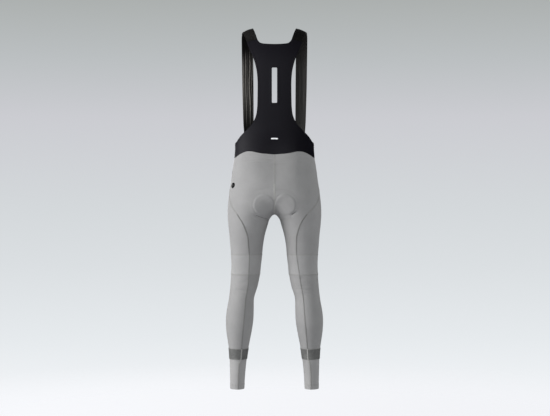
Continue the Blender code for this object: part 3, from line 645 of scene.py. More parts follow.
def trimmedEdges(grid, cells):
    # pulls the border of a patch in along the cloth by half a seam gap
    filled = np.pad(cells, 1)
    above, below = filled[:-1, :-1] | filled[:-1, 1:], filled[1:, :-1] | filled[1:, 1:]
    before, after = filled[:-1, :-1] | filled[1:, :-1], filled[:-1, 1:] | filled[1:, 1:]
    pull = np.zeros(grid.shape)
    for axis, sign, inside, outside in (
        (0, 1, below, above), (0, -1, above, below), (1, 1, after, before), (1, -1, before, after),
    ):
        step = np.roll(grid, -sign, axis) - grid
        step = step / np.maximum(np.linalg.norm(step, axis=-1, keepdims=True), 1e-9)
        pull += np.where((inside & ~outside)[..., None], step, 0)
    return grid + legs["seamGap"] / 2 * pull


def borderDistances(grid, bridge=0, torsoRows=0):
    # length along the cloth from the top, the bottom, the first and the last column
    down, across = lengthAlong(grid), lengthAlong(np.swapaxes(grid, 0, 1)).T
    first = across.copy()
    first[:torsoRows] -= across[:torsoRows, bridge : bridge + 1]
    return down, down[-1:] - down, first, across[:, -1:] - across


def clothUv(grid):
    # u from the last column, v up from the bottom row, both in millimetres of cloth
    _, bottom, _, last = borderDistances(grid)
    return np.stack([-last, bottom], -1)


def middleUv(grid):
    # u from the middle column, v down from the top row
    down, _, across, _ = borderDistances(grid)
    return np.stack([across - across[:, across.shape[1] // 2][:, None], -down], -1)


def wallObject(name, outer, inner, normal, cells, material, slotName, uv, mirror=1, values=None):
    # a closed wall between two grids of points, with its outer face towards the normals
    cross = np.cross(outer[1:, :-1] - outer[:-1, 1:], outer[1:, 1:] - outer[:-1, :-1])
    facing = (cross * normal[:-1, :-1]).sum(-1)[cells].sum()
    verts = np.concatenate([outer.reshape(-1, 3), inner.reshape(-1, 3)]) * (mirror, 1, 1)
    faces = gridFaces(cells, (facing > 0) != (mirror < 0))
    field = {key: np.tile(value.ravel(), 2) for key, value in (values or {}).items()}
    return makeObject(name, verts, faces, material, slotName, np.tile(uv.reshape(-1, 2), (2, 1)), field)


# Knits, tapes and threads. Real stitches are 0.45 mm apart; they are drawn twice as coarse, in
# millimetres across and along, so that they show
stitches = (0.9, 0.8)
knits = {
    # the main cloth: an even matt grey with a faint bloom, and painted shade darkening it beside its seams
    "greyStretchKnit": {"colour": "#919090", "sheen": 0.04, "depth": 0.35, "seamPaintedShade": 0.75},
    # the knee: a shade paler and softer than the panels that it joins
    "paleBrushedKnit": {"colour": "#969595", "sheen": 0.06, "depth": 0.35, "seamPaintedShade": 0.75},
    # the back panel: near black, with only broad soft light and hardly a stitch
    "blackMicrofibreKnit": {"colour": "#0b0913", "roughness": 0.68, "sheen": 0.01, "depth": 0.08,
                            "seamPaintedShade": 0.85, "specular": 0.3},
    # the straps: ribbed black, with painted highlights as pale lines along the ribs where the key light
    # catches them and shines through
    "blackRibbedElastic": {"colour": "#100f0e", "roughness": 0.55, "sheen": 0.05, "depth": 0.5,
                           "pitch": (1.1, 1.6), "seamPaintedShade": 0.9, "paintedStreakGain": 70.0},
    # threads: fine broken lines, just darker than the grey cloth and just lighter than the black
    "greyPolyesterThread": {"colour": "#8c8b89", "roughness": 0.6, "pitch": (0.3, 0.3), "depth": 0.1,
                            "specular": 0.35},
    "blackPolyesterThread": {"colour": "#1c1b1f", "roughness": 0.8, "sheen": 0.0, "depth": 0.1,
                             "pitch": (0.3, 0.3), "specular": 0.1},
    # seam tapes: a dark line down the thigh, partly the tape's own colour and partly painted shade of the
    # seam's groove, the cloth's grey at the joins, pale at the bands, lighter over the pad, partly painted
    # light on the shaded crotch, and a softer dark line down the calf, also partly painted shade
    "darkSeamTape": {"colour": "#6b6a69"},
    "greySeamTape": {"colour": "#92918f"},
    "paleSeamTape": {"colour": "#a6a5a3"},
    "padSeamTape": {"colour": "#9d9c9a"},
    "calfSeamTape": {"colour": "#7d7c7b"},
    # the reflective bands: a coarse speckle of glass beads over dark grey
    "glassBeadPrintedKnit": {"colour": "#666665", "roughness": 0.5, "sheen": 0.0, "depth": 0.6,
                             "pitch": (2.4, 2.0), "seamPaintedShade": 0.9, "mottle": 0.14,
                             "specular": 0.5, "fleckScale": 190.0, "fleckDepth": 0.22},
    # the cuffs: a little paler than the main cloth; they are doubled by their hem
    "paleCuffKnit": {"colour": "#9a9999", "sheen": 0.04, "depth": 0.35, "seamPaintedShade": 0.75},
    # the dash: a smooth film, the one nearly white spot on the black panel
    "plainReflectiveFilm": {"colour": "#f1f2f4", "roughness": 0.4, "sheen": 0.0, "depth": 0.1,
                            "pitch": (0.6, 0.6), "specular": 0.35},
    # the pad: a fuzzy charcoal face, seen through the openings
    "brushedPadCloth": {"colour": "#26262a", "roughness": 0.85, "sheen": 0.3, "depth": 0.4,
                        "pitch": (1.2, 1.2), "specular": 0.35},
    # the badge: dead matt black rubber, and a mid grey ring on it
    "bondedRubberFilm": {"colour": "#050506", "roughness": 0.7, "sheen": 0.0, "depth": 0.02,
                         "pitch": (2.0, 2.0), "specular": 0.05},
    "paleRubberRing": {"colour": "#6e6e6e", "roughness": 0.6, "sheen": 0.0, "depth": 0.02,
                       "pitch": (2.0, 2.0)},
}


def knitMaterial(name, colour, roughness=0.75, sheen=0.02, pitch=stitches, depth=0.3, seamPaintedShade=1.0,
                 mottle=0.05, specular=0.2, paintedStreakGain=None, fleckScale=420.0, fleckDepth=0.06):
    # a looped surface: columns of small chevrons, with painted shade low between the loops and beside seams,
    # and where a gain is given, painted highlights lighter by that gain where the streak attribute is 1
    material = bpy.data.materials.new(name)
    material.use_nodes = True
    tree = material.node_tree
    shader = tree.nodes["Principled BSDF"]
    uv = addNode(tree, "ShaderNodeUVMap", {"uv_map": "cloth"})
    split = addNode(tree, "ShaderNodeSeparateXYZ", links={0: uv.outputs[0]})
    # height of a stitch: it leans up towards the middle of its column, and rises and falls along
    wale = calculated(tree, "MULTIPLY", split.outputs[0], 1 / (pitch[0] * mm))
    across = calculated(tree, "PINGPONG", wale, 0.5)
    course = calculated(tree, "MULTIPLY", split.outputs[1], 1 / (pitch[1] * mm))
    slanted = calculated(tree, "ADD", course, calculated(tree, "MULTIPLY", across, 1.3))
    along = calculated(tree, "PINGPONG", slanted, 0.5)
    height = calculated(tree, "MULTIPLY_ADD", across, 1.4, along)
    place = addNode(tree, "ShaderNodeTexCoord").outputs["Object"]
    cloud, yarn = (
        addNode(tree, "ShaderNodeTexNoise",
                links={"Vector": place, "Scale": scale, "Detail": detail, "Roughness": rough}).outputs[0]
        for scale, detail, rough in ((14.0, 4.0, 0.55), (fleckScale, 2.0, 0.6))
    )
    edge = addNode(tree, "ShaderNodeAttribute", {"attribute_name": "seam"}).outputs["Fac"]
    shades = [
        remapped(tree, cloud, 0.3, 0.7, 1 - mottle, 1 + mottle),
        remapped(tree, yarn, 0.3, 0.7, 1 - fleckDepth, 1 + fleckDepth),
        # painted shade: each stitch darker where it lies low, between the loops
        remapped(tree, height, 0.1, 1.0, 0.9, 1.04),
        # painted shade beside the seams, from the distance in the attribute "seam"
        remapped(tree, edge, 0.0, 4.5, seamPaintedShade, 1.0, "SMOOTHSTEP"),
    ]
    # painted highlights along the straps' ribs
    if paintedStreakGain:
        paintedStreak = addNode(tree, "ShaderNodeAttribute", {"attribute_name": "paintedStreak"}).outputs["Fac"]
        shades.append(remapped(tree, paintedStreak, 0.0, 1.0, 1.0, paintedStreakGain))
    shade = shades[0]
    for other in shades[1:]:
        shade = calculated(tree, "MULTIPLY", shade, other)
    base = addNode(tree, "ShaderNodeVectorMath", {"operation": "SCALE"},
                   {0: hexColour(colour)[:3], "Scale": shade})
    loops = addNode(tree, "ShaderNodeBump", links={"Strength": depth, "Distance": 0.0003, "Height": height})
    tree.links.new(base.outputs[0], shader.inputs["Base Color"])
    tree.links.new(remapped(tree, yarn, 0.3, 0.7, roughness - 0.05, roughness + 0.05),
                   shader.inputs["Roughness"])
    tree.links.new(loops.outputs[0], shader.inputs["Normal"])
    shader.inputs["Sheen Weight"].default_value = sheen
    shader.inputs["Sheen Roughness"].default_value = 0.45
    shader.inputs["Specular IOR Level"].default_value = specular
    return material


fabric = {name: knitMaterial(name, **values) for name, values in knits.items()}
print("materials made")

# The grey panels of the seat and thighs
sheets = {  # the node that each cut piece stands for, and its width, length and area in metres
    "seatPanel": ("seat_panel", 0.27, 0.41, 0.068),
    "frontPanel": ("front_panel", 0.36, 0.42, 0.091),
    "kneeBand": ("knee_band", 0.33, 0.070, None),
    "calfPanel": ("calf_panel", 0.302, 0.275, None),
    "reflectiveBand": ("reflective_band", 0.247, 0.039, None),
    "ankleCuff": ("ankle_cuff", 0.207, 0.112, None),
    "bibBackPanel": ("bib_back_panel", 0.40, 0.42, 0.077),
    "elasticStrap": ("strap", 0.044, 0.54, None),
}
# how far each kind of edge is held off in the painted shade beside seams, in mm
paintedShadeOffset = {"waist": 2.5, "cross": 3.3, "inner": 3.4, "closing": 0.8}
hems = {"rise": 0.5, "slope": 1.5, "front": 24, "cuff": 20}
kneeHeap = {"rise": 0.7, "above": 4, "width": 3.5}  # cloth heaped over the knee's lower seam


def declareSheet(piece, kind, side=""):
    node, width, length, area = sheets[kind]
    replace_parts(piece, node + side)


def clothPiece(kind, side, grid, cells, cloth, slotName, detail, seam, mirror=1, wall=legs["wall"]):
    # a closed wall whose outer face is the grid moved out by the low relief
    normal = outward(grid)
    outer = trimmedEdges(grid, cells) + detail[..., None] * normal
    made = wallObject(kind + side, outer, outer - wall * normal, normal, cells, fabric[cloth],
                      slotName, clothUv(grid), mirror, {"seam": seam})
    declareSheet(made, kind, side)


def turnedHem(distance, depth):
    # doubled cloth that stands proud of the rest up to the hem's depth
    return hems["rise"] * ramp((depth - distance) / hems["slope"])


sides = (("right", 1), ("left", -1))
for side, mirror in sides:
    legs["side"] = side
    rows = outerHeights()[0]
    grid, cells = panelGrid(-1, legs["seatWrap"], waistRow(), rows)
    top, bottom, first, last = borderDistances(grid, legs["bridge"], legs["riseRows"])
    # distance to the nearest seam, which sets the painted shade beside it
    seam = np.minimum(np.minimum(top + paintedShadeOffset["waist"], bottom + paintedShadeOffset["cross"]),
                      np.minimum(first + paintedShadeOffset["inner"], last))
    detail = clothRelief(grid, mirror) + kneeRelief(grid, mirror) + legFold(grid)
    clothPiece("seatPanel", "_" + side, grid, cells, "greyStretchKnit", "grey_knit", detail, seam, mirror)
    beside = np.linspace(legs["sideTop"], legs["sideBottom"], legs["sideRows"] + 1)[:-1]
    grid, cells = panelGrid(1, legs["frontWrap"], frontRow(), np.concatenate([beside, rows]))
    top, bottom, first, last = borderDistances(grid, legs["bridge"], legs["riseRows"] + legs["sideRows"])
    seam = np.minimum(bottom + paintedShadeOffset["cross"], np.minimum(first + paintedShadeOffset["inner"], last))
    detail = turnedHem(top, hems["front"]) * (seam > 1) + legFold(grid)
    clothPiece("frontPanel", "_" + side, grid, cells, "greyStretchKnit", "grey_knit", detail, seam, mirror)
print("seat and front panels made")

# The pieces below the thigh, each a tube closed along the long seam
rings = (
    # piece, cloth, slot, top, bottom, rows, columns, rise
    ("kneeBand", "paleBrushedKnit", "knee_knit", legs["kneeTop"], legs["kneeBottom"], 26, 110, 0.2),
    ("calfPanel", "greyStretchKnit", "grey_knit", legs["kneeBottom"], legs["bandTop"], 96, 110, 0.0),
    ("reflectiveBand", "glassBeadPrintedKnit", "reflective_knit", legs["bandTop"], legs["bandBottom"],
     18, 96, legs["bandRise"]),
    ("ankleCuff", "paleCuffKnit", "grey_knit", legs["bandBottom"], legs["hem"], 44, 96, -legs["cuffTuck"]),
)
for kind, cloth, slotName, high, low, rows, around, rise in rings:
    for side, mirror in sides:
        legs["side"] = side
        grid, cells = ringGrid(high, low, rows, around)
        top, bottom, first, last = borderDistances(grid)
        ends = top if kind == "ankleCuff" else np.minimum(top, bottom)
        closing = np.minimum(first, last) + paintedShadeOffset["closing"]
        seam = np.minimum(ends + paintedShadeOffset["cross"], closing)
        detail = kneeRelief(grid, mirror) + legFold(grid) + rise
        if kind == "ankleCuff":
            detail = detail + turnedHem(bottom, hems["cuff"])
        if kind == "kneeBand":
            detail = detail + kneeHeap["rise"] * bump(bottom - kneeHeap["above"], kneeHeap["width"])
        clothPiece(kind, "_" + side, grid, cells, cloth, slotName, detail, seam, mirror)
print("lower legs made")

# The black back panel
bib = {
    "wall": 1.1, "rows": 150, "half": 54, "sideRows": 16,
    "sideCorner": (945, -8), "shoulderInner": (66, 1357), "shoulderOuter": (107, 1346),
    "neckMiddle": 1336, "neckShare": 7 / 12,
    "slotWidth": 19.6, "slotBottom": 1108.3, "slotTop": 1242, "slotCorner": 3.5, "slotColumn": 8,
    "slotRows": 6, "slotColumns": 8,  # how many rows and columns move with the slot's ends
    "slotReach": 26, "slotFade": 18,  # how far past its ends the columns beside it still move
    "neckCurve": ((0.25, 2), (0.75, 10)),  # shares and powers of the neckline's rise
    "rowSpread": 0.35,  # share of the rows' spacing that follows the armhole, the rest is even
    "hem": 9.0, "hemRise": 0.45, "hemSlope": 1.6, "armholeFoot": 940,
    "bandLine": 18.0, "bandGroove": (0.35, 1.8),  # the stitched line above the waist seam
    "none": 99,  # distance that stands for no edge
}


def torsoAngle(x, height):
    # the angle at which the form is as far sideways as x
    low, high = np.zeros(np.shape(x)), np.full(np.shape(x), 90.0)
    return halved(lambda angle: x - onLeg(angle, height)[..., 0], low, high, 34)



def bibTop(share):
    # neckline from the middle out, then the shoulder seam
    neck = np.clip(share / bib["neckShare"], 0, 1)
    along = np.clip((share - bib["neckShare"]) / (1 - bib["neckShare"]), 0, 1)
    (x0, h0), (x1, h1) = bib["shoulderInner"], bib["shoulderOuter"]
    x = neck * x0 + along * (x1 - x0)
    rise = sum(part * neck**power for part, power in bib["neckCurve"])
    height = bib["neckMiddle"] + (h0 - bib["neckMiddle"]) * rise + along * (h1 - h0)
    return torsoAngle(x, height), height


def armholeAngle(height):
    known = torsoAngle(armholeTable["halfWidth"], armholeTable["height"])
    heights = np.concatenate([[legs["sideTop"], bib["sideCorner"][0]], armholeTable["height"]])
    angles = np.concatenate([[legs["sideAngle"], bib["sideCorner"][1]], known])
    return smoothCurve(height, heights, angles)


def armholeHeights(count):
    heights = np.linspace(legs["sideTop"], bib["shoulderOuter"][1], 400)
    length = lengthAlong(onLeg(armholeAngle(heights), heights))
    return np.interp(np.linspace(0, length[-1], count + 1), length, heights)


def bibHalf():
    # angles and heights from the middle of the back to the edge, then points of the form
    lowAngle = np.linspace(90, legs["sideAngle"], bib["half"] + 1)
    bottom = np.stack([lowAngle, waistAt(lowAngle)], -1)
    top = np.stack(bibTop(np.linspace(0, 1, bib["half"] + 1)), -1)
    side = np.linspace(legs["sideBottom"], legs["sideTop"], bib["sideRows"] + 1)
    edge = np.concatenate([side, armholeHeights(bib["rows"] - bib["sideRows"])[1:]])
    angle = np.concatenate([np.full(len(side), legs["sideAngle"]), armholeAngle(edge[len(side):])])
    right = np.stack([angle, edge], -1)
    right[-1] = top[-1]
    spread = (edge - edge[0]) / (edge[-1] - edge[0])
    even = np.linspace(0, 1, len(edge))
    spread = bib["rowSpread"] * spread + (1 - bib["rowSpread"]) * even
    rise = waistMiddle + (bib["neckMiddle"] - waistMiddle) * spread
    middle = np.stack([np.full(len(edge), 90.0), rise], -1)
    grid = coons(bottom, top, middle, right)
    # rows nearest the slot's two ends are moved to them, and their neighbours with them
    k = bib["slotColumn"]
    slotEnds = (bib["slotBottom"], bib["slotTop"])
    rows = []
    for end in slotEnds:
        row = int(np.argmin(abs(grid[:, 0, 1] - end)))
        away = abs(np.arange(len(edge)) - row)[:, None]
        out = np.maximum(np.arange(bib["half"] + 1) - k, 0)[None]
        weight = ramp(1 - away / bib["slotRows"]) * ramp(1 - out / bib["slotColumns"])
        grid[..., 1] += weight * (end - grid[row, :, 1])[None]
        rows.append(row)
    points = onLeg(grid[..., 0], grid[..., 1])
    points[:, 0, 0] = 0
    # the column beside the slot is moved to its edge
    x, height = points[..., 0], points[..., 2]
    half = bib["slotWidth"] / 2
    beside, wide = x[:, k : k + 1], x[:, -1:]
    moved = np.where(x <= beside, x * half / np.maximum(beside, 1e-6),
                     wide - (wide - x) * (wide - half) / np.maximum(wide - beside, 1e-6))
    low, high, fade = slotEnds[0] - bib["slotReach"], slotEnds[1] + bib["slotReach"], bib["slotFade"]
    near = between(height, low, fade, high, fade)
    x = x + near * (moved - x)
    # round corners
    r = bib["slotCorner"]
    for row, end, sign in zip(rows, slotEnds, (1, -1)):
        for i, j in ((row, k), (row + sign, k), (row, k - 1)):
            across, up = half - r, end + sign * r
            dx, dh = x[i, j] - across, (height[i, j] - up) * sign
            if dx > 0 and dh < 0:
                pull = min(1, r / math.hypot(dx, dh))
                x[i, j] = across + dx * pull
                height[i, j] = up + sign * dh * pull
    points = np.where(near[..., None] > 0, onLeg(torsoAngle(x, height), height), points)
    points[:, 0, 0] = 0
    return points, rows


half, slotRows = bibHalf()
whole = np.concatenate([mirrored(half[:, :0:-1]), half], axis=1)
bibCells = np.ones((whole.shape[0] - 1, whole.shape[1] - 1), bool)
centre, k = bib["half"], bib["slotColumn"]
bibCells[slotRows[0] : slotRows[1], centre - k : centre + k] = False
# the grid runs from the waist seam (row 0) up to the neck, and from armhole to armhole
waist, neck, leftArm, rightArm = borderDistances(whole)
neckPart = np.abs(np.linspace(-1, 1, whole.shape[1]))[None] < bib["neckShare"]
side, height = abs(whole[..., 0]), whole[..., 2]
slotAlong = np.maximum(np.maximum(bib["slotBottom"] - height, height - bib["slotTop"]), 0)
slotEdge = np.hypot(np.maximum(side - bib["slotWidth"] / 2, 0), slotAlong)
armEdge = np.where(height > bib["armholeFoot"], np.minimum(leftArm, rightArm), bib["none"])
hemEdge = np.minimum(np.minimum(armEdge, np.where(neckPart, neck, bib["none"])), slotEdge)
depth, width = bib["bandGroove"]
detail = (bib["hemRise"] * ramp((bib["hem"] - hemEdge) / bib["hemSlope"])
          - depth * bump(waist - bib["bandLine"], width) + backHollow(whole))
clothPiece("bibBackPanel", "", whole, bibCells, "blackMicrofibreKnit", "bib_knit", detail,
           np.minimum(waist, np.where(neckPart, bib["none"], neck)), wall=bib["wall"])
print("back panel made")

# The elastic straps
strap = {
    "wall": 1.4, "ribs": 8, "ribHeight": 0.9, "crown": 2.2, "steps": 200, "across": 64,
    "frontInner": 75, "frontOuter": 112.5,
    "ease": 0.125,  # share of the length over which each end is eased onto its seam
    # place across from the inner edge, width, strength, waviness along
    # painted highlights: strong on the left strap, on the key light's side, and faint on the right
    "left": ((0.10, 0.04, 0.35, 40), (0.32, 0.045, 1.0, 61), (0.50, 0.04, 0.35, 33),
             (0.68, 0.05, 1.0, 70), (0.86, 0.035, 0.7, 48), (0.97, 0.04, 0.9, 90)),
    "right": ((0.12, 0.05, 0.02, 40), (0.34, 0.05, 0.03, 52), (0.74, 0.05, 0.055, 44),
              (0.93, 0.06, 0.03, 71)),
    "rows": (  # inner edge and outer edge: sideways, depth, height
        (74.5, -45, 1382, 114.5, -35, 1368.5), (81.5, -22, 1400, 121.5, -16, 1385),
        (85.0, 4, 1406, 126.0, 6, 1390), (86.0, 28, 1399, 128.0, 26, 1384),
        (85.4, 52, 1381, 129.6, 47, 1368), (84.9, 75, 1348, 129.8, 68, 1338),
        (84.4, 94, 1303, 129.7, 86, 1296), (84.0, 107, 1240, 129.1, 98, 1236),
        (83.6, 112, 1170, 127.9, 102, 1168), (83.2, 111, 1100, 126.0, 100, 1100),
        (82.9, 106, 1030, 123.2, 92, 1030), (80.0, 99, 970, 117.4, 84, 970),
    ),
}


def unitCross(a, b):
    cross = np.cross(a, b)
    return cross / np.linalg.norm(cross, axis=-1, keepdims=True)


def strapFacing(points):
    return unitCross(np.gradient(points, axis=1), np.gradient(points, axis=0))


def strapSurface():
    # the two edges follow smooth curves through the table, the middle is crowned between them
    across = np.linspace(0, 1, strap["across"] + 1)
    start = onLeg(*bibTop(bib["neckShare"] + (1 - bib["neckShare"]) * across))
    edge = frontRow()
    x = strap["frontInner"] + (strap["frontOuter"] - strap["frontInner"]) * across
    end = np.stack([np.interp(x, edge[:, 0], edge[:, i]) for i in range(3)], -1)
    rows = np.array([[*start[0], *start[-1]], *strap["rows"], [*end[0], *end[-1]]])
    along = lengthAlong(rows.reshape(len(rows), -1, 3).mean(1))
    even = np.linspace(0, along[-1], strap["steps"] + 1)
    edges = np.stack([smoothCurve(even, along, rows[:, i]) for i in range(6)], -1).reshape(-1, 2, 3)
    points = edges[:, :1] + (edges[:, 1:] - edges[:, :1]) * across[None, :, None]
    points = points + strap["crown"] * np.sin(np.pi * across)[None, :, None] * strapFacing(points)
    share = np.linspace(0, 1, strap["steps"] + 1)[:, None, None]
    points = points + (start - points[0]) * ramp(1 - share / strap["ease"])
    return points + (end - points[-1]) * ramp(1 - (1 - share) / strap["ease"])


strapPoints = strapSurface()
strapNormal = strapFacing(strapPoints)
strapCells = np.ones((strap["steps"], strap["across"]), bool)
across = np.linspace(0, 1, strap["across"] + 1)
rib = (strap["ribHeight"] * (0.5 - 0.5 * np.cos(2 * np.pi * strap["ribs"] * across)))[None, :, None]
strapHeight = strapPoints[..., 2]
# where the straps' painted highlights show: on the chest, fading out over the shoulder, near the waist and
# towards the back
stretch = ramp((1345 - strapHeight) / 90) * ramp((strapHeight - 1000) / 170)
stretch = stretch * ramp((strapPoints[..., 1] - 60) / 30)


def paintedStrapStreaks(lines):
    # painted highlights: pale lines along the strap's ribs where the light catches and shines through them,
    # scaled by stretch, the mask of where they show
    drift = 0.05 * np.sin(strapHeight / 61 + 1.0) + 0.03 * np.sin(strapHeight / 23)
    shade = 0 * strapHeight
    for place, width, strength, period in lines:
        waver = 0.8 + 0.2 * np.sin(strapHeight / period + 9 * place)
        shade = shade + strength * waver * bump(across[None] - place - drift * (1 - place), width)
    return np.clip(shade, 0, 1) * stretch


sewn = trimmedEdges(strapPoints, strapCells)
for side, mirror in sides:
    values = {"seam": np.minimum(*borderDistances(strapPoints)[:2]), "paintedStreak": paintedStrapStreaks(strap[side])}
    made = wallObject(f"elasticStrap_{side}", sewn + rib * strapNormal,
                      sewn - (strap["wall"] - 0.5 * rib) * strapNormal, strapNormal, strapCells,
                      fabric["blackRibbedElastic"], "strap_elastic", clothUv(strapPoints), mirror, values)
    declareSheet(made, "elasticStrap", "_" + side)
print("straps made")

# The pad inside the seat
back = riseHeights(pad["backTop"], -1, 200)[::-1]
ahead = riseHeights(pad["frontTop"], 1, 200)[1:]
heights = np.concatenate([back, ahead])
depth = np.concatenate([middleDepth(back, -1), middleDepth(ahead, 1)])
length = lengthAlong(np.stack([heights, depth], -1))
share = np.linspace(0, 1, pad["steps"] + 1)
run = share * length[-1]
spine = np.stack([0 * share, np.interp(run, length, depth), np.interp(run, length, heights)], -1)
padTable = columns(pad["rows"], ("share", "half", "thick"))
across = np.linspace(-1, 1, pad["across"] + 1)
x = smoothCurve(share, padTable["share"], padTable["half"])[:, None] * across[None]
thick = smoothCurve(share, padTable["share"], padTable["thick"])[:, None]
# rays from 25 mm inside the spine out to the form, up to 75 mm long
facing = outward(spine)[:, None]
start = spine[:, None] + np.array([1.0, 0, 0]) * x[..., None] - 25 * facing
ray = halved(lambda r: wornForm(*np.moveaxis(start + r[..., None] * facing, -1, 0)),
             np.zeros(x.shape), np.full(x.shape, 75.0))
surface = start + ray[..., None] * facing
normal = outward(surface)
full = np.sqrt(np.clip(1 - abs(across) ** 4, 0, 1))[None]
channel = 1 - sum(press * bump(abs(x) - place, width) for place, width, press in pad["channels"])
place, width, press = pad["crossChannel"]
channel = channel * (1 - press * bump(run[:, None] - place + 0.004 * x**2, width))
thickness = pad["rim"] + (thick - pad["rim"]) * full * channel
outer = surface - (legs["wall"] + pad["clearance"] - backHollow(surface))[..., None] * normal
padObject = wallObject("seatPad", outer, outer - thickness[..., None] * normal, normal,
                       np.ones((pad["steps"], pad["across"]), bool), fabric["brushedPadCloth"],
                       "pad_cloth", middleUv(outer))
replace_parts(padObject, "seat_pad")
print("pad made")

# Seams: a low tape over each joined edge, and rows of thread stitches
sewing = {
    "pitch": 3.2, "threadRadius": 0.22, "threadRise": 0.12, "tapeRise": 0.5, "tapeStep": 2.2,
    "longTape": 3.6, "centreTape": 3.0, "padTape": 7.0, "rowBeside": 0.5,
    "padTapeTop": 801, "cuffHem": 20.0, "frontHem": 20.0, "bibHem": 7.0, "slotHem": 3.0,
    # profile of a tape: share of its width across, share of its rise out
    "profile": ((-0.5, 0.0), (-0.36, 0.8), (-0.14, 1.0), (0.14, 1.0), (0.36, 0.8), (0.5, 0.0),
                (0.3, -0.5), (-0.3, -0.5)),
    # a thread along its length: share of the way, share of its radius
    "thread": ((0.0, 0.35), (0.22, 1.0), (0.78, 1.0), (1.0, 0.35)),
}


def evenly(path, step):
    # points a step apart along a path, and the unit directions there
    length = lengthAlong(path)
    count = max(int(round(length[-1] / step)), 2)
    at = np.linspace(0, length[-1], count + 1)
    points = np.stack([np.interp(at, length, path[:, i]) for i in range(3)], -1)
    along = np.gradient(points, axis=0)
    return points, along / np.linalg.norm(along, axis=-1, keepdims=True)


# Lifts: how far the dressed cloth stands out from the plain form where a seam runs
def greyLift(points, mirror=1):
    height = points[..., 2]
    band = ramp((legs["bandTop"] - height) / 2 + 0.5) * ramp((height - legs["bandBottom"]) / 2 + 0.5)
    return (clothRelief(points, mirror) + kneeRelief(points, mirror) + legs["bandRise"] * band
            + legFold(points))


def crossLift(rise):
    return lambda points, mirror=1: kneeRelief(points, mirror) + legFold(points) + rise


def hemLift(points, mirror=1):
    return backHollow(points, mirror) + bib["hemRise"]


def tapeMesh(path, width, lift, mirror=1):
    # a low rounded profile carried along the path, closed at both ends
    points, along = evenly(path, sewing["tapeStep"])
    normal = outward(points)
    side = unitCross(along, normal)
    base = points + lift(points, mirror)[:, None] * normal
    across, out = np.array(sewing["profile"]).T * [[width], [sewing["tapeRise"]]]
    ring = base[:, None] + across[None, :, None] * side[:, None] + out[None, :, None] * normal[:, None]
    index = np.arange(ring.shape[0] * ring.shape[1]).reshape(ring.shape[:2])
    return ring.reshape(-1, 3), [tubeFaces(index), index[:1], index[-1:, ::-1]]


def stitchMesh(a, b, normal):
    # a four-sided thread from each point a to its point b, thin at both ends
    along = b - a
    along = along / np.maximum(np.linalg.norm(along, axis=-1, keepdims=True), 1e-6)
    side = unitCross(along, normal)
    up = np.cross(side, along)
    radius, rings = sewing["threadRadius"], []
    for share, size in sewing["thread"]:
        middle = a + share * (b - a) + (size - 0.35) * radius * 0.5 * up
        rings.append(np.stack([middle + size * radius * (c * side + s * up)
                               for c, s in ((1, 0), (0, 1), (-1, 0), (0, -1))], 1))
    verts = np.stack(rings, 1)  # stitch, ring, corner, xyz
    index = np.arange(len(a) * 16).reshape(len(a), 4, 4)
    return verts.reshape(-1, 3), [tubeFaces(index), index[:, 0], index[:, -1, ::-1]]


def straightStitches(path, offset, lift, mirror=1):
    # dashes beside the path, each four fifths of the pitch
    points, along = evenly(path, sewing["pitch"] / 2)
    out = lift(points, mirror) + sewing["threadRise"]
    normal = outward(points)
    moved = settled(points + offset * unitCross(along, normal), 4)
    moved = moved + out[:, None] * outward(moved)
    count = len(moved) // 2
    a, b = moved[:-1:2][:count], moved[1::2][:count]
    grow = 0.3 * (b - a)
    return stitchMesh(a - grow, b + grow, normal[:-1:2][:count])


def zigzagStitches(path, width, lift, mirror=1):
    # threads that cross the tape from side to side
    points, along = evenly(path, sewing["pitch"] / 2)
    normal = outward(points)
    sway = np.where(np.arange(len(points)) % 2, 1, -1)[:, None] * width / 2
    rise = lift(points, mirror)[:, None] + sewing["tapeRise"] * 0.9
    line = points + sway * np.cross(along, normal) + rise * normal
    return stitchMesh(line[:-1], line[1:], normal[:-1])


def sideUv(verts):
    return np.stack([verts[:, 0] + verts[:, 1], verts[:, 2]], -1)


def sewnObject(name, parts, cloth, slotName, mirror=1):
    # several meshes as one piece, turned over for the wearer's left
    verts, faces, start = [], [], 0
    for points, groups in parts:
        verts.append(points)
        faces += [(group if mirror > 0 else group[:, ::-1]) + start for group in groups]
        start += len(points)
    verts = np.concatenate(verts) * (mirror, 1, 1)
    makeObject(name, verts, faces, fabric[cloth], slotName, sideUv(verts))


def legRing(height):
    start = float(seamAt("outerAngle", height))
    return onLeg(np.linspace(start + 1, start + 359, 150), height)


seamHeights = np.linspace(legs["sideBottom"], legs["hem"] + 0.4, 900)
innerHeights = np.linspace(crotch - 0.5, legs["kneeTop"], 120)
innerPath = onLeg(seamAt("innerAngle", innerHeights), innerHeights)
backRise = riseHeights(waistMiddle, -1, 160)[::-1]
frontRise = riseHeights(frontEdgeRows[0][1], 1, 160)[1:]
centrePath = np.stack([
    np.zeros(len(backRise) + len(frontRise)),
    np.concatenate([middleDepth(backRise, -1), middleDepth(frontRise, 1)]),
    np.concatenate([backRise, frontRise])], -1)
frontHem = np.linspace(-89, legs["sideAngle"] + 2, 120)
frontHem = onLeg(frontHem, frontEdgeAt(frontHem) - sewing["frontHem"])
longTapes = (  # piece, tape, width, then the low and high end of each stretch of the long seam
    # the dark thigh and calf tapes carry part of the painted shade at the long seam
    ("thighSeamTape", "darkSeamTape", sewing["longTape"], ((legs["kneeTop"], 682),)),
    ("legSeamTape", "greySeamTape", sewing["longTape"], ((680, 882), (0, legs["bandBottom"] - 13))),
    ("calfSeamTape", "calfSeamTape", 3.0, ((legs["bandTop"], legs["kneeTop"]),)),
    ("bandSeamTape", "paleSeamTape", 4.2, ((legs["bandBottom"] - 14, legs["bandTop"] + 1),)),
)
crossTapes = (  # height, width, rise over the cloth
    (legs["kneeTop"], 3.4, 0.1), (legs["kneeBottom"], 3.4, 0.4),
    (legs["bandTop"], 2.4, 1.0), (legs["bandBottom"], 2.4, 0.8),
)
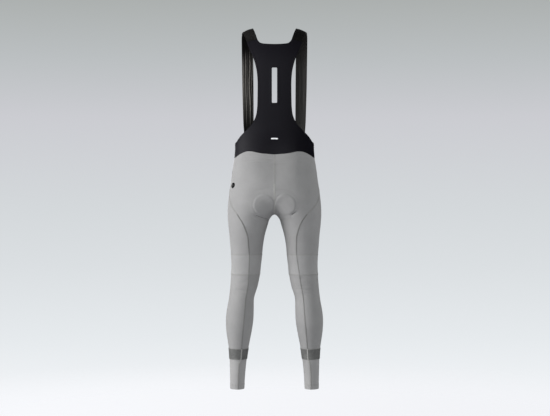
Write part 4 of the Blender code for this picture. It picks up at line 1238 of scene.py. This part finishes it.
for side, mirror in sides:
    legs["side"] = side
    longPath = longSeam(seamHeights)
    for piece, cloth, width, spans in longTapes:
        tapes = [tapeMesh(longPath[(seamHeights >= low) & (seamHeights <= high)], width, greyLift, mirror)
                 for low, high in spans]
        if piece == "legSeamTape":
            tapes.append(tapeMesh(innerPath, width, backHollow))
        sewnObject(f"{piece}_{side}", tapes, cloth, "grey_knit", mirror)
    tapes = [tapeMesh(legRing(height), width, crossLift(rise), mirror) for height, width, rise in crossTapes]
    sewnObject(f"crossSeamTapes_{side}", tapes, "greySeamTape", "grey_knit", mirror)
    beside = sewing["longTape"] / 2 + sewing["rowBeside"]
    parts = [zigzagStitches(longPath, sewing["longTape"] - 1.0, greyLift, mirror),
             straightStitches(longPath, beside, greyLift, mirror),
             straightStitches(longPath, -beside, greyLift, mirror),
             zigzagStitches(innerPath, sewing["longTape"] - 1.0, backHollow)]
    for height, width, rise in crossTapes[:2]:
        parts.append(zigzagStitches(legRing(height), width - 1.0, crossLift(rise), mirror))
    for hemPath in (legRing(sewing["cuffHem"]), frontHem):
        for offset in (0.0, 3.0):
            parts.append(straightStitches(hemPath, offset, crossLift(0.3)))
    sewnObject(f"legThreads_{side}", parts, "greyPolyesterThread", "grey_knit", mirror)

upper = centrePath[: len(backRise)][backRise >= sewing["padTapeTop"] - 1]
lower = centrePath[: len(backRise)][backRise <= sewing["padTapeTop"]]
ahead = centrePath[len(backRise) - 1 :]
tapes = [tapeMesh(path, sewing["centreTape"], greyLift) for path in (upper, ahead)]
sewnObject("centreSeamTape", tapes, "greySeamTape", "grey_knit")
# the pad's tape is paler than the cloth, partly painted light on the shaded crotch
sewnObject("padSeamTape", [tapeMesh(lower, sewing["padTape"], greyLift)], "padSeamTape", "grey_knit")
beside = sewing["padTape"] / 2 + sewing["rowBeside"]
sewnObject("centreSeamThreads", [
    zigzagStitches(upper, sewing["centreTape"] - 0.8, greyLift),
    zigzagStitches(ahead, sewing["centreTape"] - 0.8, greyLift),
    zigzagStitches(lower, sewing["padTape"] - 2.4, greyLift),
    straightStitches(lower, beside, greyLift),
    straightStitches(lower, -beside, greyLift)], "greyPolyesterThread", "grey_knit")
print("leg seams sewn")

# Threads of the back panel: along its hems, above the waist seam and at the shoulder seams
armHeights = armholeHeights(260)
armPath = onLeg(armholeAngle(armHeights), armHeights)
neckPath = onLeg(*bibTop(np.linspace(0.01, bib["neckShare"], 80)))
shoulderPath = onLeg(*bibTop(np.linspace(bib["neckShare"] + 0.01, 0.99, 30)))
waistAngle = np.linspace(90, legs["sideAngle"], 160)
slotSide = bib["slotWidth"] / 2 + sewing["slotHem"]
slotLow, slotHigh = bib["slotBottom"] - sewing["slotHem"], bib["slotTop"] + sewing["slotHem"]
slotTurns = np.array([(0, 0, slotLow), (slotSide, 0, slotLow), (slotSide, 0, slotHigh), (0, 0, slotHigh)])
slotLine, _ = evenly(slotTurns, 1.5)
slotPath = onLeg(torsoAngle(slotLine[:, 0], slotLine[:, 2]), slotLine[:, 2])
rows = [(armPath, -sewing["bibHem"], hemLift), (neckPath, sewing["bibHem"], hemLift), (slotPath, 0, hemLift)]
for rise in (3.0, bib["bandLine"]):
    rows.append((onLeg(waistAngle, waistAt(waistAngle) + rise), 0, backHollow))
rows += [(shoulderPath, offset, backHollow) for offset in (3.0, 5.5)]
for side, mirror in sides:
    parts = [straightStitches(path, offset, lift, mirror) for path, offset, lift in rows]
    sewnObject(f"bibThreads_{side}", parts, "blackPolyesterThread", "bib_knit", mirror)
print("back panel sewn")

# A plain reflective dash on the back panel, and the badge bonded to the hip
dash = {"height": 972.0, "length": 27.0, "width": 5.0, "rise": 0.35, "under": 0.05,
        "columns": 40, "rows": 10}
u = np.linspace(-1, 1, dash["columns"] + 1)
v = np.linspace(-1, 1, dash["rows"] + 1)[:, None]
# half round ends: the width falls off over the last half width as a circle's chord does
tip = np.clip((abs(u) * dash["length"] - dash["length"] + dash["width"]) / dash["width"], 0, 1)
dashH = dash["height"] + v * np.sqrt(np.clip(1 - tip**2, 0.02, 1)) * dash["width"] / 2
dashX = np.broadcast_to(u * dash["length"] / 2, dashH.shape)
dashPoints = onLeg(torsoAngle(abs(dashX), dashH), dashH)
dashPoints[..., 0] = dashX
normal = outward(dashPoints)
dashPoints = dashPoints + backHollow(dashPoints)[..., None] * normal
outer = dashPoints + dash["rise"] * normal
wallObject("plainReflectiveDash", outer, dashPoints - dash["under"] * normal, normal,
           np.ones((dash["rows"], dash["columns"]), bool), fabric["plainReflectiveFilm"],
           "reflective_knit", middleUv(outer))

badge = {
    "side": -160, "height": 793, "stretch": 1.22, "around": 48,
    # radius and height above the cloth, from the middle out, over the edge and under
    "disc": ((0.4, 1.0), (4.0, 1.0), (8.6, 1.0), (9.9, 0.9), (10.7, 0.55), (10.9, 0.1),
             (10.3, -0.3), (0.4, -0.3)),
    "ring": ((2.6, 0.9), (2.8, 1.25), (3.2, 1.35), (3.6, 1.25), (3.8, 0.9), (3.2, 0.8)),
}


def turnedOnCloth(name, profile, closed, cloth):
    # a profile turned about the badge's middle and laid over the form, worked out on the right
    side, height = -badge["side"], badge["height"]
    middle = onLeg(torsoAngle(np.array(float(side)), np.array(float(height))), height)
    normal = outward(middle)
    right = unitCross(normal, (0, 0, 1.0))
    up = np.cross(right, normal)
    turn = np.linspace(0, 2 * np.pi, badge["around"] + 1)[:-1, None]
    radii, lifts = np.array(profile).T[:, :, None, None]
    spot = middle + radii * (badge["stretch"] * np.cos(turn) * right + np.sin(turn) * up)
    spot = settled(spot, 6)
    points = spot + lifts * outward(spot)
    index = np.arange(points.shape[0] * badge["around"]).reshape(-1, badge["around"])
    faces = [tubeFaces(index), index[:1, ::-1], index[-1:]]
    if closed:
        beyond = np.roll(index, -1, 1)
        faces = [faces[0], np.stack([index[-1], index[0], beyond[0], beyond[-1]], -1)]
    verts = points.reshape(-1, 3) * (-1, 1, 1)
    first = faces[0][0]
    tilt = np.cross(verts[first[1]] - verts[first[0]], verts[first[2]] - verts[first[0]])
    if tilt @ (normal * (-1, 1, 1)) < 0:
        faces = [f[:, ::-1] for f in faces]
    return makeObject(name, verts, faces, fabric[cloth], "badge", sideUv(verts))


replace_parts(turnedOnCloth("hipBadge", badge["disc"], False, "bondedRubberFilm"), "hip_badge")
turnedOnCloth("hipBadgeRing", badge["ring"], True, "paleRubberRing")
print("badge bonded")

# Lights, backdrop and camera
studio = {"size": 550, "perPixel": 0.0039, "distance": 5.0, "eye": (0.00195, -0.694)}
cameraData = bpy.data.cameras.new("camera")
cameraData.sensor_width = 36
cameraData.lens = 36 * studio["distance"] / (studio["size"] * studio["perPixel"])
cameraObject = bpy.data.objects.new("camera", cameraData)
cameraObject.location = (studio["eye"][0], -studio["distance"], studio["eye"][1])
cameraObject.rotation_euler = (math.radians(90), 0, 0)
bpy.context.scene.collection.objects.link(cameraObject)
bpy.context.scene.camera = cameraObject

lamps = (
    # name, place, aimed at, size, watts
    ("keyLeft", (-3.4, -1.1, 0.1), (0, 0, -0.65), (1.6, 2.6), 152),
    ("fillBehindCamera", (0.4, -5.8, 0.6), (0, 0, -0.7), (3.0, 2.4), 60),
    ("frontSide", (-1.6, 5.4, 0.4), (0, 0, -0.7), (3.0, 2.4), 90),
    ("rimRight", (3.2, 1.9, -0.1), (0, 0, -0.7), (1.2, 2.4), 38),
)
for name, place, target, size, watts in lamps:
    data = bpy.data.lights.new(name, "AREA")
    data.shape = "RECTANGLE"
    data.size, data.size_y = size
    data.energy = watts
    lamp = bpy.data.objects.new(name, data)
    lamp.location = place
    toward = np.array(target, float) - np.array(place, float)
    tilt = math.atan2(math.hypot(*toward[:2]), -toward[2])
    lamp.rotation_euler = (tilt, 0, math.atan2(-toward[0], toward[1]))
    lamp.visible_camera = False
    lamp.visible_glossy = name != "rimRight"
    bpy.context.scene.collection.objects.link(lamp)

world = bpy.data.worlds.new("paleSweep")
bpy.context.scene.world = world
world.use_nodes = True
tree = world.node_tree
direction = addNode(tree, "ShaderNodeTexCoord")
lift = addNode(tree, "ShaderNodeSeparateXYZ", links={0: direction.outputs["Generated"]})
share = remapped(tree, lift.outputs[2], -0.16, 0.16, 0.0, 1.0)
sweep = addNode(tree, "ShaderNodeValToRGB", links={0: share})
stops = ((0.0, "#f6f8fb"), (0.19, "#e6eaed"), (0.36, "#dbdfe2"), (0.5, "#d4d8db"), (0.72, "#cbccd1"),
         (0.86, "#bbbfc1"), (1.0, "#acb0af"))
elements = sweep.color_ramp.elements
for element, (position, code) in zip(elements, (stops[0], stops[-1])):
    element.position, element.color = position, hexColour(code)
for position, code in stops[1:-1]:
    elements.new(position).color = hexColour(code)
tree.links.new(sweep.outputs[0], tree.nodes["Background"].inputs[0])
world.cycles_visibility.glossy = False

floor = {"height": -1640, "radii": (20, 3200), "rings": 24, "around": 96, "flagBelow": 20}


def plainMaterial(name, colour, glow, strength):
    # a matt surface that gives off a light of its own
    material = bpy.data.materials.new(name)
    material.use_nodes = True
    sockets = {"Base Color": hexColour(colour), "Roughness": 0.9,
               "Emission Color": hexColour(glow), "Emission Strength": strength}
    for socket, value in sockets.items():
        material.node_tree.nodes["Principled BSDF"].inputs[socket].default_value = value
    return material


turn = np.linspace(0, 2 * np.pi, floor["around"] + 1)[:-1]
radii = np.linspace(*floor["radii"], floor["rings"])[:, None]
disc = np.stack([radii * np.cos(turn), radii * np.sin(turn), 0 * radii * turn + floor["height"]], -1)
disc = disc.reshape(-1, 3) + (0, 0, shoulderHeight)
index = np.arange(floor["rings"] * floor["around"]).reshape(floor["rings"], floor["around"])
floorFaces = [tubeFaces(index), index[:1, ::-1]]
paleFloor = plainMaterial("paleFloor", "#3c3c3c", "#f6f7fb", 0.9)  # melts into the sweep behind
tree = paleFloor.node_tree
place = addNode(tree, "ShaderNodeTexCoord")
reach = addNode(tree, "ShaderNodeVectorMath", {"operation": "LENGTH"}, {0: place.outputs["Object"]})
tree.links.new(remapped(tree, reach.outputs["Value"], 1.9, 3.4, 1.0, 0.0, "SMOOTHSTEP"),
               tree.nodes["Principled BSDF"].inputs["Alpha"])
floorObject = makeObject("floor", disc, floorFaces, paleFloor)
floorObject.visible_diffuse = False
floorObject.visible_glossy = False
floorObject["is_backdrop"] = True
# a grey cloth under the floor keeps the white sweep from lighting the garment from below
flagCloth = plainMaterial("greyFlagCloth", "#202020", "#c4c6c9", 1.0)
flagObject = makeObject("flagUnderFloor", disc - (0, 0, floor["flagBelow"]), floorFaces, flagCloth)
flagObject.visible_camera = False
flagObject.visible_glossy = False
flagObject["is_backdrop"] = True

bpy.context.scene.view_settings.view_transform = "Standard"
low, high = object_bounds()
